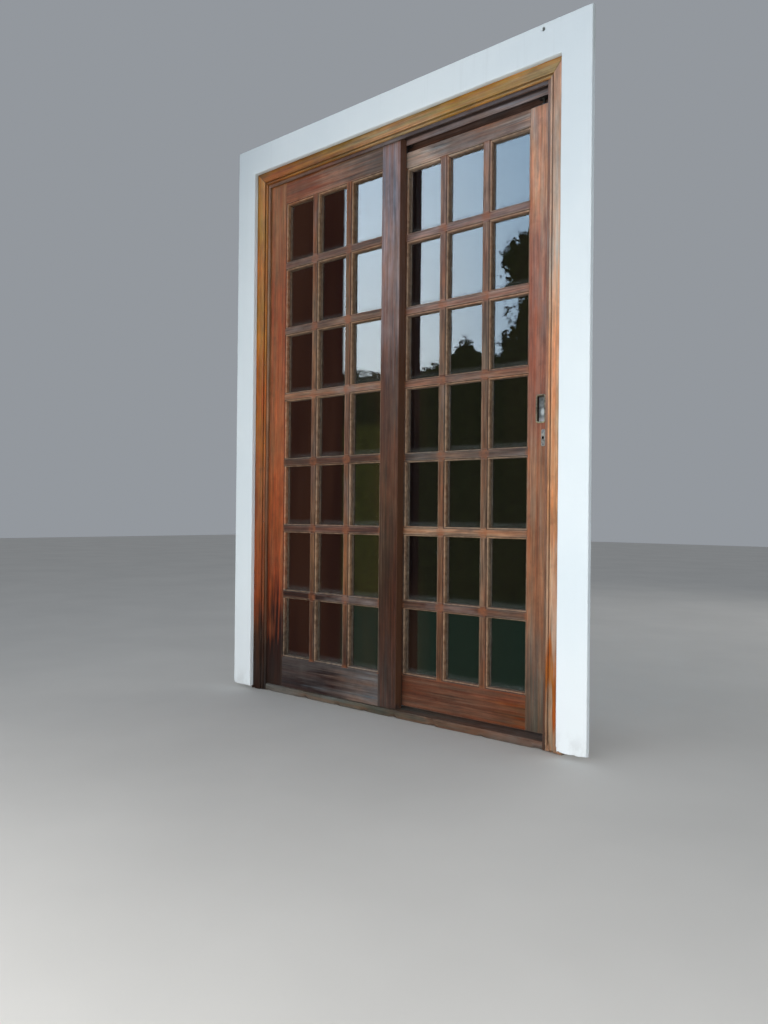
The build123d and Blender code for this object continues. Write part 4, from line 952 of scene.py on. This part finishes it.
# Leaves
for leaf in ("fixed", "sliding"):
    dressed(f"{leaf}_outer_stile", woods[f"{leaf}_outer_stile"])
    dressed(f"{leaf}_meeting_stile", woods[f"{leaf}_meeting_stile"],
            spots=(((0.044, -0.027, 0.027), 0.028, 0.007), ((0.000, -0.027, 0.027), 0.018, 0.003)),
            dense=((2, run(0.030, 0.004, 8)), (0, [0.020, 0.028, 0.034, 0.039])))
    dressed(f"{leaf}_top_rail", woods[f"{leaf}_top_rail"], cuts=((0, 0.03),))
    dressed(f"{leaf}_bottom_rail", woods[f"{leaf}_bottom_rail"], cuts=((0, 0.03),))
    dressed(f"{leaf}_upright_bar_1", woods[f"{leaf}_bars"])
    dressed(f"{leaf}_upright_bar_2", woods[f"{leaf}_bars"])
    dressed(f"{leaf}_cross_bars", woods[f"{leaf}_cross_bars"], cuts=((0, 0.03),))
    dressed(f"{leaf}_glazing_beads", woods[f"{leaf}_bars"], bevel=0.0004, cuts=())
    paint(f"{leaf}_glass", panes[leaf])

# Handles, screws and nails
for side in ("outside", "inside"):
    pull(f"{side}_pull", pulls)
    dressed(f"{side}_escutcheon", brass, bevel=0.0005, cuts=(), uneven=0.15, segments=2)
for node, material, outward in (
        ("escutcheon_screws", dusty, (0, -1, 0)), ("faceplate_screws", steel, (1, 0, 0)),
        ("strike_screws", steel, (-1, 0, 0)), ("guide_screws", steel, (0, 0, 1)),
        ("hanger_screws", dusty, (0, 0, 1)), ("track_screws", dusty, (0, 0, -1))):
    dressed(node, material, bevel=0.00025, cuts=(), uneven=0, slots=outward)
dressed("moulding_nails", rusty, bevel=0.0008, cuts=(), uneven=0.3, segments=3)

# Running gear and lock
threaded("hanger_bolts", dusty)
dressed("hanger_nuts", dusty, bevel=0.0007, cuts=(), uneven=0, segments=2)
dressed("hanger_plates", dusty, bevel=0.0005, cuts=(), uneven=0.2)
dressed("head_track", dusty, bevel=0.0004, cuts=((0, 0.05),), uneven=0.2)
for number in (1, 2):
    for kind, bevel, uneven in (("trolley", 0.0006, 0.2), ("wheels", 0.0003, 0), ("axle", 0.0004, 0)):
        dressed(f"{kind}_{number}", dusty, bevel=bevel, cuts=(), uneven=uneven, segments=2)
dressed("track_buffers", rubber(), bevel=0.0012, cuts=(), uneven=0.4, segments=3)
for node, bevel, uneven in (
        ("floor_guide", 0.0005, 0.15), ("lock_case", 0.0005, 0.1), ("lock_faceplate", 0.0004, 0.1),
        ("strike_plate", 0.0004, 0.1), ("lock_beak", 0.0003, 0), ("beak_pin", 0.0004, 0)):
    dressed(node, steel, bevel=bevel, cuts=(), uneven=uneven, segments=2)
